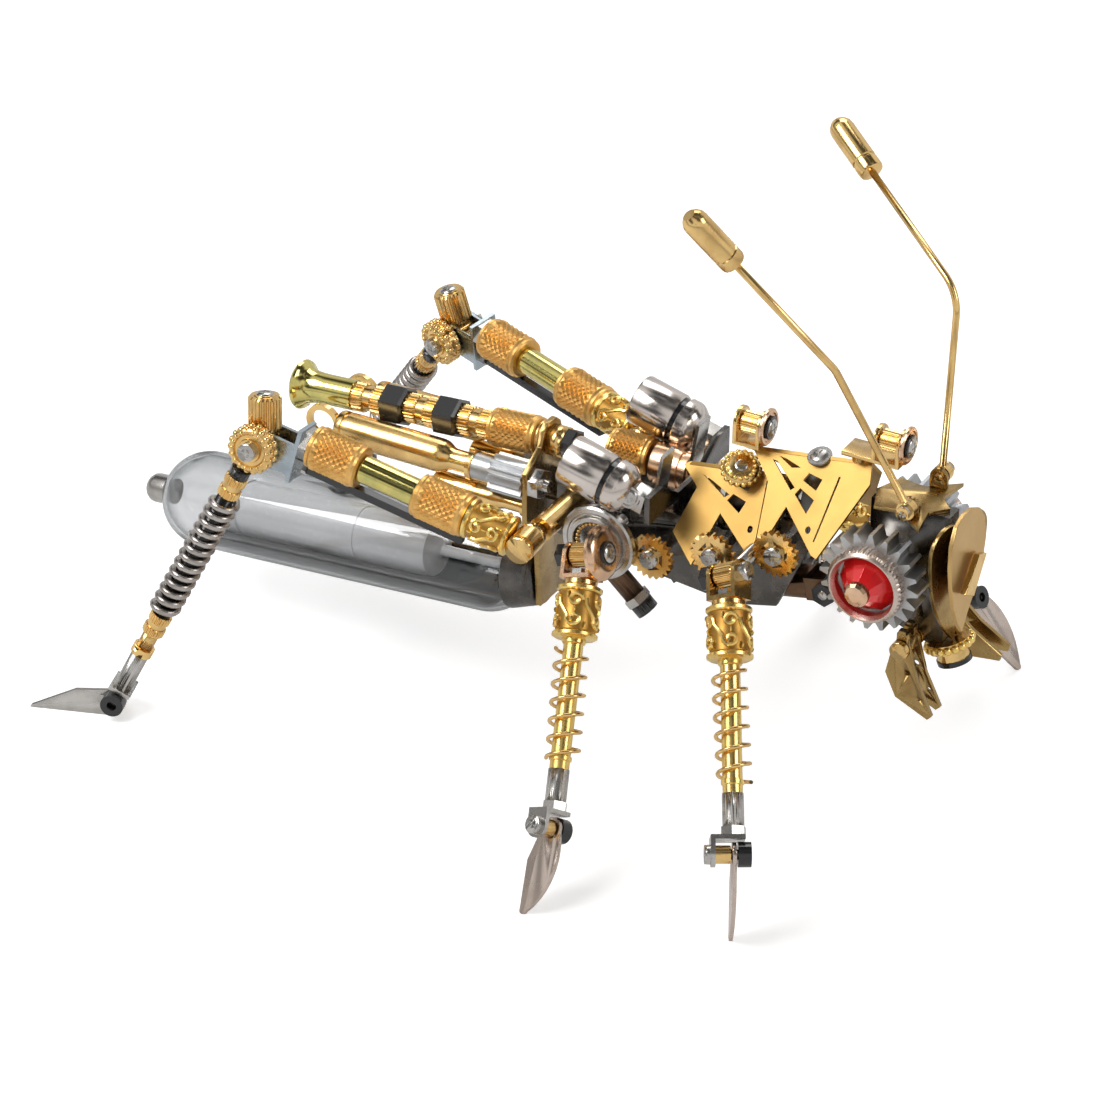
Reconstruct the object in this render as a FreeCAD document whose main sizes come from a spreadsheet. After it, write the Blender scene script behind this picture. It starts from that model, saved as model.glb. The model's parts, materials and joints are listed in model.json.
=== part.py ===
"""A standing mechanical insect, assembled from turned brass, steel plates and a smoked glass bulb.

Frame: +X towards the head, +Y towards the insect's left side, +Z up, millimetres.
The feet stand on Z = 0, and the origin is under the middle of the whole machine.
Every limb is modelled hanging down its own local -Z axis from its hinge pin, then placed.
"""
import FreeCAD, Part
import math
import os
import re

import Sketcher
from FreeCAD import Placement, Rotation, Vector

doc = FreeCAD.newDocument("mechanical_insect")
sheet = doc.addObject("Spreadsheet::Sheet", "sizes")

# Driving dimensions: alias, value in millimetres or degrees, meaning
SIZES = [
    # fits and small hardware
    ("running_fit", 0.08, "radial clearance of a hinge pin in its hole"),
    ("side_gap", 0.30, "gap beside every part that turns between two others"),
    ("seat_gap", 0.10, "gap left between seated curved faces"),
    ("pin_radius", 1.0, "shank of every hinge screw"),
    ("head_radius", 1.9, "pan head of a hinge screw"),
    ("head_height", 1.2, "height of a pan head"),
    ("sheet_metal", 0.9, "thickness of bent steel and brass sheet"),
    ("nut_radius", 2.6, "across corners of a small hexagon nut"),
    ("nut_height", 1.8, "height of a small hexagon nut"),
    ("insert_radius", 2.5, "fluted threaded insert, across the flutes"),
    ("insert_band", 1.9, "length of one fluted band"),
    ("insert_groove", 1.4, "plain groove between the two bands"),
    ("groove_depth", 0.5, "depth of that groove"),
    # bulb abdomen
    ("bulb_radius", 10.7, "outside of the glass capsule"),
    ("bulb_length", 94.0, "glass capsule from pole to pole"),
    ("bulb_wall", 0.8, "glass thickness"),
    ("bulb_slope", 4.6, "rise of the bulb towards the head"),
    ("bulb_front_z", 31.8, "front pole of the bulb, height"),
    ("core_radius", 6.2, "reflector tube inside the bulb"),
    ("core_length", 52.0, "length of the reflector tube"),
    ("core_start", 24.0, "reflector from the front pole"),
    ("core_wall", 0.6, "wall of the reflector tube"),
    ("core_stem_gap", 0.6, "reflector stem off the inside of the glass"),
    ("nipple_radius", 3.3, "steel nipple at the tail"),
    ("nipple_length", 5.6, "length of the nipple"),
    ("nipple_edge", 1.5, "rounding of the nipple"),
    ("socket_length", 6.0, "steel cup that grips the bulb's front dome"),
    ("socket_floor", 2.4, "solid floor of that cup"),
    ("socket_radius", 7.0, "outside of that cup"),
    # frame of the thorax
    ("plate_half_gap", 5.0, "inner face of each side plate from the middle"),
    ("plate_thick", 1.2, "thickness of the side plates and bulkheads"),
    ("hind_hip_x", 9.0, "hind axle, along"),
    ("hind_hip_z", 55.6, "hind axle, height"),
    ("hind_hip_y", 25.5, "middle of the hind thigh from the middle plane"),
    ("mid_hip_x", 20.6, "middle hips, along"),
    ("mid_hip_z", 54.5, "middle hips, height"),
    ("mid_hip_y", 22.0, "middle hips from the middle plane"),
    ("front_hip_x", 52.2, "front hips, along"),
    ("front_hip_z", 58.4, "front hips, height"),
    ("front_hip_y", 20.0, "front hips from the middle plane"),
    ("axle_radius", 1.5, "cross rods"),
    ("hub_margin", 3.0, "metal of a plate round each axle"),
    ("hip_ring_radius", 8.2, "steel ring on each middle axle"),
    ("hip_ring_wall", 2.2, "radial width of that ring"),
    ("hip_ring_width", 2.6, "ring along its axle"),
    ("hip_disc_width", 1.6, "brass disc inside the ring"),
    # pipe row over the bulb
    ("row_x", 0.6, "front face of the rear bulkhead, along"),
    ("pipe_z", 64.9, "pipe axis at the rear bulkhead"),
    ("pipe_slope", 3.6, "fall of the pipe row towards the tail"),
    ("pipe_radius", 3.3, "trumpet pipe"),
    ("pipe_bore", 2.6, "bore of the trumpet pipe"),
    ("pipe_length", 14.0, "trumpet pipe with its flange"),
    ("flange_radius", 5.4, "mouth flange of the pipe"),
    ("flange_length", 1.1, "thickness of the flange"),
    ("black_nut_radius", 4.1, "across corners of the black nuts"),
    ("black_nut_length", 5.6, "length of a black nut"),
    ("row_insert_radius", 3.2, "fluted inserts of the pipe row"),
    ("row_band", 2.9, "fluted band of these inserts"),
    ("row_groove", 1.8, "groove between the bands"),
    ("sleeve_radius", 4.2, "diamond-cut sleeves"),
    ("sleeve_length", 11.5, "diamond-cut sleeve of the pipe row"),
    ("row_washer", 1.1, "washer between that sleeve and the bulkhead"),
    ("sleeve_chamfer", 0.6, "bevel at the ends of a sleeve"),
    ("cap_length", 3.4, "beaded collar in front of the bulkhead"),
    ("cap_radius", 3.4, "beaded collar"),
    ("black_cap", 2.5, "black end cap of the pipe row"),
    # bullet rows
    ("bullet_y", 7.6, "bullet axis from the middle plane"),
    ("bullet_z", 58.4, "bullet axis, height"),
    ("bullet_radius", 3.6, "brass bottle-neck shell"),
    ("bullet_body", 25.0, "straight part of the shell"),
    ("bullet_shoulder", 3.2, "taper of the shoulder"),
    ("bullet_neck", 4.0, "neck of the shell"),
    ("neck_radius", 2.3, "radius of that neck"),
    ("rim_radius", 3.3, "rim at the mouth"),
    ("rim_length", 1.2, "length of that rim"),
    ("pinion_teeth", 12, "teeth of the pinion"),
    ("pinion_radius", 4.2, "tip radius of the pinion"),
    ("pinion_depth", 0.9, "tooth depth"),
    ("pinion_length", 8.0, "face width of the pinion"),
    ("hub_radius", 2.9, "hub behind the pinion"),
    ("hub_length", 4.6, "length of that hub"),
    ("loop_radius", 4.1, "outside of the clip loops"),
    ("loop_wire", 1.2, "section of the clip loops"),
    ("small_bullet", 2.5, "radius of the smaller shell under each bullet"),
    ("small_body", 14.0, "straight part of the smaller shell"),
    ("small_drop", 6.4, "smaller shell below the bullet axis"),
    # motors
    ("motor_radius", 5.4, "chromed motor cup"),
    ("motor_cup", 9.4, "length of the cup"),
    ("motor_band", 1.1, "black band"),
    ("motor_nose", 5.0, "rounded steel end"),
    ("motor_edge", 2.6, "rounding of that end"),
    ("motor_y", 14.6, "motor axis from the middle plane"),
    ("motor_z", 65.9, "motor axis at the mid bulkhead"),
    ("motor_seat", 0.7, "neck block off the mid bulkhead"),
    ("motor_slope", 15.0, "rise of the motors towards the tail"),
    ("motor_neck", 3.2, "square neck block"),
    ("neck_block", 4.2, "side of that block"),
    ("bulkhead_x", 31.6, "rear face of the mid bulkhead, along"),
    ("bulkhead_top", 68.6, "top of the mid bulkhead"),
    ("shoulder_rise", 64.0, "dip between the wings of the mid bulkhead"),
    # belly rods
    ("belly_length", 14.5, "ribbed rods under the thorax"),
    ("belly_radius", 2.3, "radius of those rods"),
    ("belly_x", 19.0, "upper end of a belly rod, along"),
    ("belly_z", 45.2, "upper end of a belly rod, height"),
    # folded shells
    ("shell_sheet", 0.8, "brass sheet of the folded shells"),
    ("shell_half", 12.8, "outer edge of a shell from the middle plane"),
    ("shell_drop", 16.5, "fall of a shell from ridge to points"),
    ("rear_shell_x", 33.2, "rear end of the rear shell, along"),
    ("rear_ridge_z", 69.0, "ridge of the rear shell at its rear end"),
    ("rear_shell_length", 21.8, "length of the rear shell"),
    ("front_shell_x", 46.5, "rear end of the front shell, along"),
    ("front_ridge_z", 76.4, "ridge of the front shell at its rear end"),
    ("front_shell_length", 27.0, "length of the front shell"),
    ("shell_rise", 8.0, "angle at which both ridges rise towards the head"),
    # side gears
    ("gear_teeth", 20, "teeth of a side gear"),
    ("gear_radius", 4.9, "tip radius of a side gear"),
    ("gear_depth", 0.7, "tooth depth of a side gear"),
    ("gear_width", 1.4, "face width of a side gear"),
    ("gear_rim", 1.1, "rim between teeth and windows"),
    ("gear_boss", 2.2, "boss round the gear's screw"),
    ("gear_y", 13.4, "inner face of the side gears from the middle plane"),
    ("gear_one_x", 31.8, "rear side gear, along"),
    ("gear_one_z", 53.4, "rear side gear, height"),
    ("gear_pitch_x", 13.9, "spacing of the side gears, along"),
    ("gear_pitch_z", 4.5, "spacing of the side gears, upwards"),
    # eyelets on top
    ("eyelet_radius", 3.1, "round ears of an eyelet"),
    ("eyelet_roller", 2.3, "fluted roller of an eyelet"),
    ("eyelet_gap", 4.2, "between the ears of an eyelet"),
    ("eyelet_rise", 5.0, "roller axis above the eyelet's foot"),
    ("eyelet_rear_x", 46.6, "rear eyelet, along"),
    ("eyelet_front_x", 77.0, "front eyelet, along"),
    ("eyelet_tongue", 6.4, "foot of the front eyelet behind its roller"),
    # neck and head
    ("nod_x", 66.0, "nodding pin, along"),
    ("nod_z", 50.0, "nodding pin, height"),
    ("neck_length", 12.5, "splined neck tube behind the nodding fork"),
    ("neck_tube_radius", 3.5, "splined neck tube"),
    ("neck_collar_radius", 4.1, "brown collar behind it"),
    ("neck_collar_length", 3.6, "length of that collar"),
    ("neck_slope", 12.0, "rise of the neck towards the head"),
    ("fork_gap", 5.0, "between the cheeks of the nodding fork"),
    ("eye_x", 79.6, "eye axis, along"),
    ("eye_z", 61.6, "eye axis, height"),
    ("core_half", 8.4, "half width of the head barrel"),
    ("barrel_radius", 6.4, "head barrel between the eye gears"),
    ("eye_teeth", 20, "teeth of an eye gear"),
    ("eye_gear_radius", 10.6, "tip radius of an eye gear"),
    ("eye_gear_depth", 2.2, "tooth depth of an eye gear"),
    ("eye_gear_width", 5.2, "face width of an eye gear"),
    ("bezel_radius", 8.0, "steel bezel of an eye"),
    ("bezel_width", 3.0, "bezel along the eye axis"),
    ("bezel_wall", 1.7, "radial width of the bezel"),
    ("cone_facets", 12, "facets of the red eye cone"),
    ("cone_height", 4.6, "height of the eye cone"),
    ("cone_tip", 2.6, "small end of the eye cone"),
    ("boss_length", 1.8, "fluted boss on the eye cone"),
    ("face_x", 91.5, "root of the leaf plates, along"),
    ("leaf_length", 27.3, "height of a leaf plate"),
    ("leaf_width", 10.6, "width of a leaf plate"),
    ("leaf_turn_left", -10.0, "how far the left leaf's outer edge stands back"),
    ("leaf_turn_right", 14.0, "how far the right leaf's outer edge stands back"),
    ("leaf_roll", 8.0, "how far the tops of the leaves stand apart"),
    ("leaf_foot_y", 1.0, "lower tip of each leaf from the middle plane"),
    ("face_low_z", 45.8, "lower tip of the leaf plates"),
    ("crown_z", 73.6, "crown plate, height"),
    ("crown_length", 12.0, "crown plate, along"),
    ("crown_width", 21.0, "crown plate, across"),
    ("mouth_radius", 4.6, "beaded mouth ring"),
    ("mouth_height", 2.0, "height of the mouth ring"),
    ("mouth_knurl", 2.2, "knurled tube under the mouth ring"),
    ("mouth_x", 91.4, "mouth axis, along"),
    ("mouth_z", 45.2, "top of the mouth ring, height"),
    ("mouth_tilt", 20.0, "upward tilt of the mouth ring towards the front"),
    ("jaw_x", 86.6, "jaw pins, along"),
    ("jaw_z", 47.6, "jaw pins, height"),
    ("jaw_y", 6.6, "inner face of the jaws from the middle plane"),
    ("jaw_length", 16.0, "reach of a jaw plate"),
    ("jaw_width", 7.6, "width of a jaw blade"),
    ("jaw_spacing", 3.2, "between the two plates of a jaw"),
    ("jaw_swing_left", 32.0, "forward swing of the left jaw"),
    ("jaw_swing_right", 0.0, "forward swing of the right jaw"),
    ("jaw_knuckle", 2.2, "side of the stepped block over each jaw blade"),
    # antennae
    ("antenna_x", 84.6, "antenna pins, along"),
    ("antenna_y", 8.2, "antenna eyes from the middle plane"),
    ("antenna_rise", 2.4, "antenna pins above the crown plate"),
    ("wire_radius", 0.75, "antenna wire"),
    ("wire_lower", 38.0, "antenna wire below its bend"),
    ("wire_upper", 32.5, "antenna wire above its bend"),
    ("wire_bend", 8.0, "bend radius of the wire"),
    ("right_lean", 17.0, "backward lean of the right antenna"),
    ("right_splay", 22.0, "outward lean of the right antenna"),
    ("right_upper_lean", 30.0, "backward lean above the right bend"),
    ("right_upper_splay", 30.0, "outward lean above the right bend"),
    ("left_lean", 1.0, "backward lean of the left antenna"),
    ("left_splay", 6.0, "outward lean of the left antenna"),
    ("left_upper_lean", 62.0, "backward lean above the left bend"),
    ("left_upper_splay", 46.0, "outward lean above the left bend"),
    ("tip_radius", 2.6, "antenna tip cap"),
    ("tip_length", 14.0, "length of the tip cap"),
    ("tip_edge", 1.3, "rounding of the tip cap"),
    ("eye_ring", 1.9, "eye at the foot of an antenna"),
    ("antenna_screw_head", 1.4, "pan head of an antenna screw"),
    # middle and front legs
    ("leg_length", 56.0, "hip pin to ankle pin"),
    ("ear_radius", 2.7, "round ears of a leg yoke"),
    ("yoke_drop", 5.3, "hip pin to the underside of the yoke"),
    ("roller_length", 4.6, "fluted roller between the ears"),
    ("bead_length", 10.6, "carved bead"),
    ("bead_radius", 4.1, "carved bead at its waist"),
    ("bead_flange", 4.6, "flanges of the carved bead"),
    ("flange_height", 1.3, "height of those flanges"),
    ("step_radius", 3.4, "step ring under the bead"),
    ("step_height", 1.4, "height of that ring"),
    ("rod_radius", 2.0, "brass rod inside the leg spring"),
    ("ferrule_radius", 2.15, "silver ferrule"),
    ("ferrule_length", 6.6, "length of the ferrule"),
    ("spring_radius", 2.95, "middle of the spring wire"),
    ("spring_wire", 0.65, "spring wire"),
    ("spring_coils", 5, "coils of a leg spring"),
    ("spring_margin", 1.8, "rod left bare at both ends of the spring"),
    ("yoke_nut", 1.2, "height of the nut inside a yoke"),
    ("ankle_ear", 2.5, "round ear of the ankle bracket"),
    ("spacer_length", 3.0, "brass spacer on the ankle pin"),
    ("spacer_radius", 1.8, "radius of that spacer"),
    ("claw_root", 2.4, "round root of a claw plate"),
    ("claw_sheet", 0.8, "thickness of a claw plate"),
    ("claw_tip", 0.8, "rounding of the claw tip"),
    ("tip_grind", 0.25, "metal ground off the tips where they stand"),
    ("mid_rake", 18.8, "forward lean of the middle legs"),
    ("front_rake", 27.7, "forward lean of the front legs"),
    ("mid_ankle_z", 14.3, "middle ankle pins, height"),
    ("front_ankle_z", 19.4, "front ankle pins, height"),
    ("mid_left_reach", 17.9, "left middle ankle pin to claw tip"),
    ("mid_right_reach", 17.9, "right middle ankle pin to claw tip"),
    ("front_left_reach", 23.2, "left front ankle pin to claw tip"),
    ("front_right_reach", 19.7, "right front ankle pin to claw tip"),
    ("mid_left_heading", -4.8, "forward turn of the left middle claw from straight outward"),
    ("mid_right_heading", -4.8, "forward turn of the right middle claw"),
    ("front_left_heading", 49.4, "forward turn of the left front claw"),
    ("front_right_heading", 18.0, "forward turn of the right front claw"),
    # hind legs
    ("thigh_length", 59.9, "hind axle to knee pin"),
    ("thigh_rise_left", 5.4, "rise of the left thigh towards its knee"),
    ("thigh_rise_right", 12.6, "rise of the right thigh"),
    ("thigh_splay_left", 17.0, "outward turn of the left thigh"),
    ("thigh_splay_right", 4.4, "outward turn of the right thigh"),
    ("shin_heading_left", 30.0, "turn of the left shin from straight back towards the left"),
    ("shin_heading_right", -27.0, "turn of the right shin"),
    ("knee_offset", 3.6, "knee pin below the axis of the thigh"),
    ("thigh_tube", 2.95, "smooth thigh tube"),
    ("thigh_tube_length", 13.0, "length of the smooth tube"),
    ("thigh_sleeve", 4.75, "diamond-cut sleeves of the thigh"),
    ("thigh_sleeve_length", 11.7, "length of those sleeves"),
    ("thigh_bead", 4.3, "carved bead of the thigh"),
    ("thigh_eye", 3.0, "eye at the hind axle"),
    ("thigh_eye_width", 4.2, "width of that eye"),
    ("knee_ear", 3.4, "ears of the knee bracket"),
    ("knee_gap", 5.0, "between the ears of the knee bracket"),
    ("knee_reach", 8.6, "knee pin to the web of its bracket"),
    ("knob_radius", 5.3, "beaded ring of the knee"),
    ("knob_width", 3.8, "knee ring along its pin"),
    ("knee_cap_radius", 3.5, "fluted cap above the knee"),
    ("knee_cap_length", 5.4, "length of that cap"),
    ("knee_cap_tilt", 16.0, "lean of that cap towards the hip"),
    ("knee_cap_rise", 4.6, "knee pin to the underside of the cap"),
    ("rod_nut", 1.6, "small nut at the upper end of the under rod"),
    ("under_rod", 0.9, "half side of the dark rod under the thigh"),
    ("shin_length", 70.0, "knee pin to hind ankle pin"),
    ("shin_rod", 1.9, "black rod inside the shin spring"),
    ("shin_spring_length", 33.0, "length of the shin spring"),
    ("shin_coils", 12, "coils of the shin spring"),
    ("shin_spring_radius", 2.7, "middle of the shin spring wire"),
    ("shin_wire", 1.0, "wire of the shin spring"),
    ("collar_length", 2.0, "black collar under the knee ring"),
    ("shin_insert_radius", 2.4, "fluted inserts of the shin"),
    ("shin_neck", 1.7, "brass neck between two inserts"),
    ("shin_neck_length", 4.0, "length of that neck"),
    ("ankle_tube", 1.9, "silver tube above the hind ankle"),
    ("ankle_height", 3.9, "hind ankle pin above the ground"),
    ("hind_reach", 19.5, "hind ankle pin to claw tip"),
    ("hind_toe_left", 14.0, "outward turn of the left hind claw on its shin"),
    ("hind_toe_right", 14.0, "outward turn of the right hind claw on its shin"),
    ("ankle_disc", 3.2, "round plate of the hind ankle"),
    ("toe_nut_radius", 2.5, "black cap nut of the ankles"),
    ("toe_nut_length", 2.6, "length of that cap nut"),
]
for line, (alias, value, meaning) in enumerate(SIZES, start=1):
    sheet.set("A%d" % line, meaning)
    sheet.set("B%d" % line, str(value))
    sheet.setAlias("B%d" % line, alias)
doc.recompute()

NAME = re.compile(r"\b([a-z][a-z0-9_]*)\b(?!\()")
LEFT, RIGHT = 1, -1
SIDES = (("left", LEFT), ("right", RIGHT))
DOWN = Vector(0, 0, -1)
X_AXIS, Y_AXIS, Z_AXIS = Vector(1, 0, 0), Vector(0, 1, 0), Vector(0, 0, 1)
FLUTES = 12
HEXAGON = 6
NODES = []
PIVOTS = {}


# ---------------------------------------------------------------- helpers
def bound(text):
    """The same formula with every size read from the sheet."""
    return NAME.sub(r"sizes.\1", str(text))


def size(text):
    """The value of a formula in the sheet's sizes."""
    return float(sheet.evalExpression(bound(text)))


def turn(axis, degrees):
    return Rotation(axis, degrees)


def aim(point, direction):
    """A placement that hangs a piece's local -Z along the direction."""
    return Placement(point, Rotation(DOWN, direction))


def frame_on(point, x_axis, down):
    """A placement with its local X and its local -Z along two directions at right angles."""
    z_axis = down * -1.0
    return Placement(point, Rotation(x_axis, z_axis.cross(x_axis), z_axis, "ZXY"))


def primitive(kind, label, **formulas):
    piece = doc.addObject("Part::" + kind, label)
    for prop, formula in formulas.items():
        piece.setExpression(prop, bound(formula))
    return piece


def put(piece, x=None, y=None, z=None, rotation=None):
    """Rotate a piece, and bind its place to the sheet."""
    if rotation is not None:
        piece.Placement = Placement(Vector(), rotation)
    for letter, formula in (("x", x), ("y", y), ("z", z)):
        if formula is not None:
            piece.setExpression("Placement.Base." + letter, bound(formula))
    return piece


def hang(piece, below, length=None):
    """Put a piece that stands on its own Z = 0 below the limb's pin."""
    total = "-(%s)" % below if length is None else "-(%s + %s)" % (below, length)
    return put(piece, z=total)


def round_bar(label, radius, length, below=None):
    bar = primitive("Cylinder", label, Radius=radius, Height=length)
    return bar if below is None else hang(bar, below, length)


def facet_bar(label, sides, radius, length, below=None):
    bar = primitive("Prism", label, Circumradius=radius, Height=length)
    bar.Polygon = sides
    return bar if below is None else hang(bar, below, length)


def joined(label, pieces):
    whole = doc.addObject("Part::MultiFuse", label)
    whole.Shapes = pieces
    whole.Refine = True
    return whole


def cut(label, base, tool):
    rest = doc.addObject("Part::Cut", label)
    rest.Base = base
    rest.Tool = tool
    return rest


def compound(label, pieces, placement=None):
    group = doc.addObject("Part::Compound", label)
    group.Links = pieces
    if placement is not None:
        group.Placement = placement
    return group


def node(label, pieces, placement=None):
    """One file of the part: a named group of the solids in it."""
    group = compound(label, pieces, placement)
    group.Label = label
    NODES.append(group)
    return group


def origin_plane(body, role):
    return [item for item in body.Origin.OriginFeatures if item.Role == role][0]


def arc_centre(start, end, radius, bend):
    """Centre of the short arc from start to end; bend is +1 for anticlockwise."""
    chord = end - start
    middle = (start + end) * 0.5
    height = math.sqrt(max(radius * radius - chord.Length ** 2 / 4, 0.0))
    normal = Vector(-chord.y, chord.x, 0).normalize()
    return middle + normal * height * bend


def pin(sketch, geometry, end, kind, formula):
    """Tie one coordinate of a point to a formula, or to the axis where it is zero."""
    place = size(formula)
    if abs(place) < 1e-9:
        line = -2 if kind == "DistanceX" else -1
        sketch.addConstraint(Sketcher.Constraint("PointOnObject", geometry, end, line))
        return
    number = sketch.addConstraint(Sketcher.Constraint(kind, -1, 1, geometry, end, place))
    sketch.setExpression("Constraints[%d]" % number, bound(formula))


def outline(sketch, points):
    """A closed outline of lines and arcs, with every corner tied to the sheet.

    A point is (x, y), or (x, y, radius, bend) where an arc leaves it.
    """
    first = sketch.GeometryCount
    places = [Vector(size(point[0]), size(point[1]), 0) for point in points]
    count = len(points)
    for index, point in enumerate(points):
        start, end = places[index], places[(index + 1) % count]
        if len(point) == 2:
            sketch.addGeometry(Part.LineSegment(start, end))
            continue
        radius, bend = size(point[2]), point[3]
        centre = arc_centre(start, end, radius, bend)
        circle = Part.Circle(centre, Z_AXIS, radius)
        ends = [math.atan2(spot.y - centre.y, spot.x - centre.x) for spot in (start, end)]
        if bend < 0:
            ends.reverse()
        sketch.addGeometry(Part.ArcOfCircle(circle, ends[0], ends[1]))
    tails = [2 if len(point) == 4 and point[3] < 0 else 1 for point in points]
    for index in range(count):
        after = (index + 1) % count
        sketch.addConstraint(Sketcher.Constraint(
            "Coincident", first + index, 3 - tails[index], first + after, tails[after]))
    for index, point in enumerate(points):
        pin(sketch, first + index, tails[index], "DistanceX", point[0])
        pin(sketch, first + index, tails[index], "DistanceY", point[1])
        if len(point) == 2:
            continue
        ahead = (index + 1) % count
        chord = places[ahead] - places[index]
        if chord.Length < 1.999 * size(point[2]):
            number = sketch.addConstraint(Sketcher.Constraint(
                "Radius", first + index, size(point[2])))
            sketch.setExpression("Constraints[%d]" % number, bound(point[2]))
            continue
        level = 1 if abs(chord.x) > abs(chord.y) else 0
        formula = "((%s) + (%s))/2" % (point[level], points[ahead][level])
        pin(sketch, first + index, 3, ("DistanceX", "DistanceY")[level], formula)


def round_hole(sketch, x, y, radius):
    centre = Vector(size(x), size(y), 0)
    circle = sketch.addGeometry(Part.Circle(centre, Z_AXIS, size(radius)))
    number = sketch.addConstraint(Sketcher.Constraint("Radius", circle, size(radius)))
    sketch.setExpression("Constraints[%d]" % number, bound(radius))
    pin(sketch, circle, 3, "DistanceX", x)
    pin(sketch, circle, 3, "DistanceY", y)


def sketch_on(body, role, name):
    sketch = body.newObject("Sketcher::SketchObject", name)
    sketch.AttachmentSupport = [(origin_plane(body, role), "")]
    sketch.MapMode = "FlatFace"
    return sketch


def turned(label, profile):
    """A turned piece: the profile holds (radius, height) points, turned about Z."""
    body = doc.addObject("PartDesign::Body", label)
    sketch = sketch_on(body, "XZ_Plane", label + "_profile")
    outline(sketch, profile)
    lathe = body.newObject("PartDesign::Revolution", label + "_lathe")
    lathe.Profile = sketch
    lathe.ReferenceAxis = (sketch, ["V_Axis"])
    lathe.Angle = 360
    body.Tip = lathe
    return body


def ring(label, outer, inner, height):
    return turned(label, [(inner, 0), (outer, 0), (outer, height), (inner, height)])


def plate(label, points, thickness, holes=(), windows=(), role="XY_Plane"):
    """Sheet metal: an outline with round holes and shaped windows, padded both ways."""
    body = doc.addObject("PartDesign::Body", label)
    sketch = sketch_on(body, role, label + "_outline")
    outline(sketch, points)
    for window in windows:
        outline(sketch, window)
    for x, y, radius in holes:
        round_hole(sketch, x, y, radius)
    pad = body.newObject("PartDesign::Pad", label + "_pad")
    pad.Profile = sketch
    pad.setExpression("Length", bound(thickness))
    pad.Midplane = True
    body.Tip = pad
    return body


def gear(label, teeth, tip, depth, width, bore, windows=()):
    """A spur wheel: a bored blank, one pointed tooth, and the pattern of all its teeth."""
    body = doc.addObject("PartDesign::Body", label)
    count = int(size(teeth))
    half_step = math.radians(180.0 / count)
    root = "(%s - %s)" % (tip, depth)
    blank = sketch_on(body, "XY_Plane", label + "_blank")
    corners = [("%s*%.9f" % (root, math.cos((2 * step + 1) * half_step)),
                "%s*%.9f" % (root, math.sin((2 * step + 1) * half_step)))
               for step in range(count)]
    outline(blank, corners)
    round_hole(blank, 0, 0, bore)
    for window in windows:
        outline(blank, window)
    disc = body.newObject("PartDesign::Pad", label + "_disc")
    disc.Profile = blank
    disc.setExpression("Length", bound(width))
    flank = sketch_on(body, "XY_Plane", label + "_tooth")
    base = "%s*%.9f" % (root, math.cos(half_step))
    half_base = "%s*%.9f" % (root, 0.8 * math.sin(half_step))
    outline(flank, [(base, "-" + half_base), (tip, "-%s*0.35" % half_base),
                    (tip, half_base + "*0.35"), (base, half_base)])
    tooth = body.newObject("PartDesign::Pad", label + "_one_tooth")
    tooth.Profile = flank
    tooth.setExpression("Length", bound(width))
    doc.recompute()
    teeth_ring = body.newObject("PartDesign::PolarPattern", label + "_teeth")
    teeth_ring.Originals = [tooth]
    teeth_ring.Axis = (flank, ["N_Axis"])
    teeth_ring.Angle = 360
    teeth_ring.setExpression("Occurrences", bound(teeth))
    body.Tip = teeth_ring
    return body


def facet_cone(label, sides, base, tip, height):
    """A faceted cone frustum standing on Z = 0: one tapered pad."""
    body = doc.addObject("PartDesign::Body", label)
    sketch = sketch_on(body, "XY_Plane", label + "_foot")
    count = int(size(sides))
    outline(sketch, [("(%s)*%.9f" % (base, math.cos(2 * math.pi * step / count)),
                      "(%s)*%.9f" % (base, math.sin(2 * math.pi * step / count)))
                     for step in range(count)])
    pad = body.newObject("PartDesign::Pad", label + "_pad")
    pad.Profile = sketch
    pad.setExpression("Length", bound(height))
    flat = math.cos(math.pi / count)
    pad.setExpression("TaperAngle", bound("-atan(((%s) - (%s))*%.9f/(%s))"
                                          % (base, tip, flat, height)))
    body.Tip = pad
    return body


def insert(label, below, radius="insert_radius", band="insert_band", groove="insert_groove",
           bore=None):
    """A fluted threaded insert: two fluted bands with a plain groove between."""
    upper = facet_bar(label + "_upper", FLUTES, radius, band, below)
    waist = facet_bar(label + "_waist", FLUTES, radius + " - groove_depth", groove,
                      "%s + %s" % (below, band))
    lower = facet_bar(label + "_lower", FLUTES, radius, band,
                      "%s + %s + %s" % (below, band, groove))
    whole = joined(label, [upper, waist, lower])
    if bore is None:
        return whole
    hole = round_bar(label + "_bore", bore, "2*%s + %s" % (band, groove), below)
    return cut(label + "_bored", whole, hole)


def hinge_screw(label, length, radius="pin_radius", head="head_radius"):
    """A pan-head screw lying down local -Z: its head starts at Z = 0, its shank below."""
    return turned(label, [
        (0, "head_height"), (head, "head_height"), (head, 0), (radius, 0),
        (radius, "-(%s)" % length), (0, "-(%s)" % length)])


def hex_nut(label, bore="pin_radius + running_fit", radius="nut_radius", height="nut_height"):
    """A hexagon nut standing on Z = 0."""
    blank = facet_bar(label + "_blank", HEXAGON, radius, height)
    return cut(label, blank, round_bar(label + "_hole", bore, height))


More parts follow.
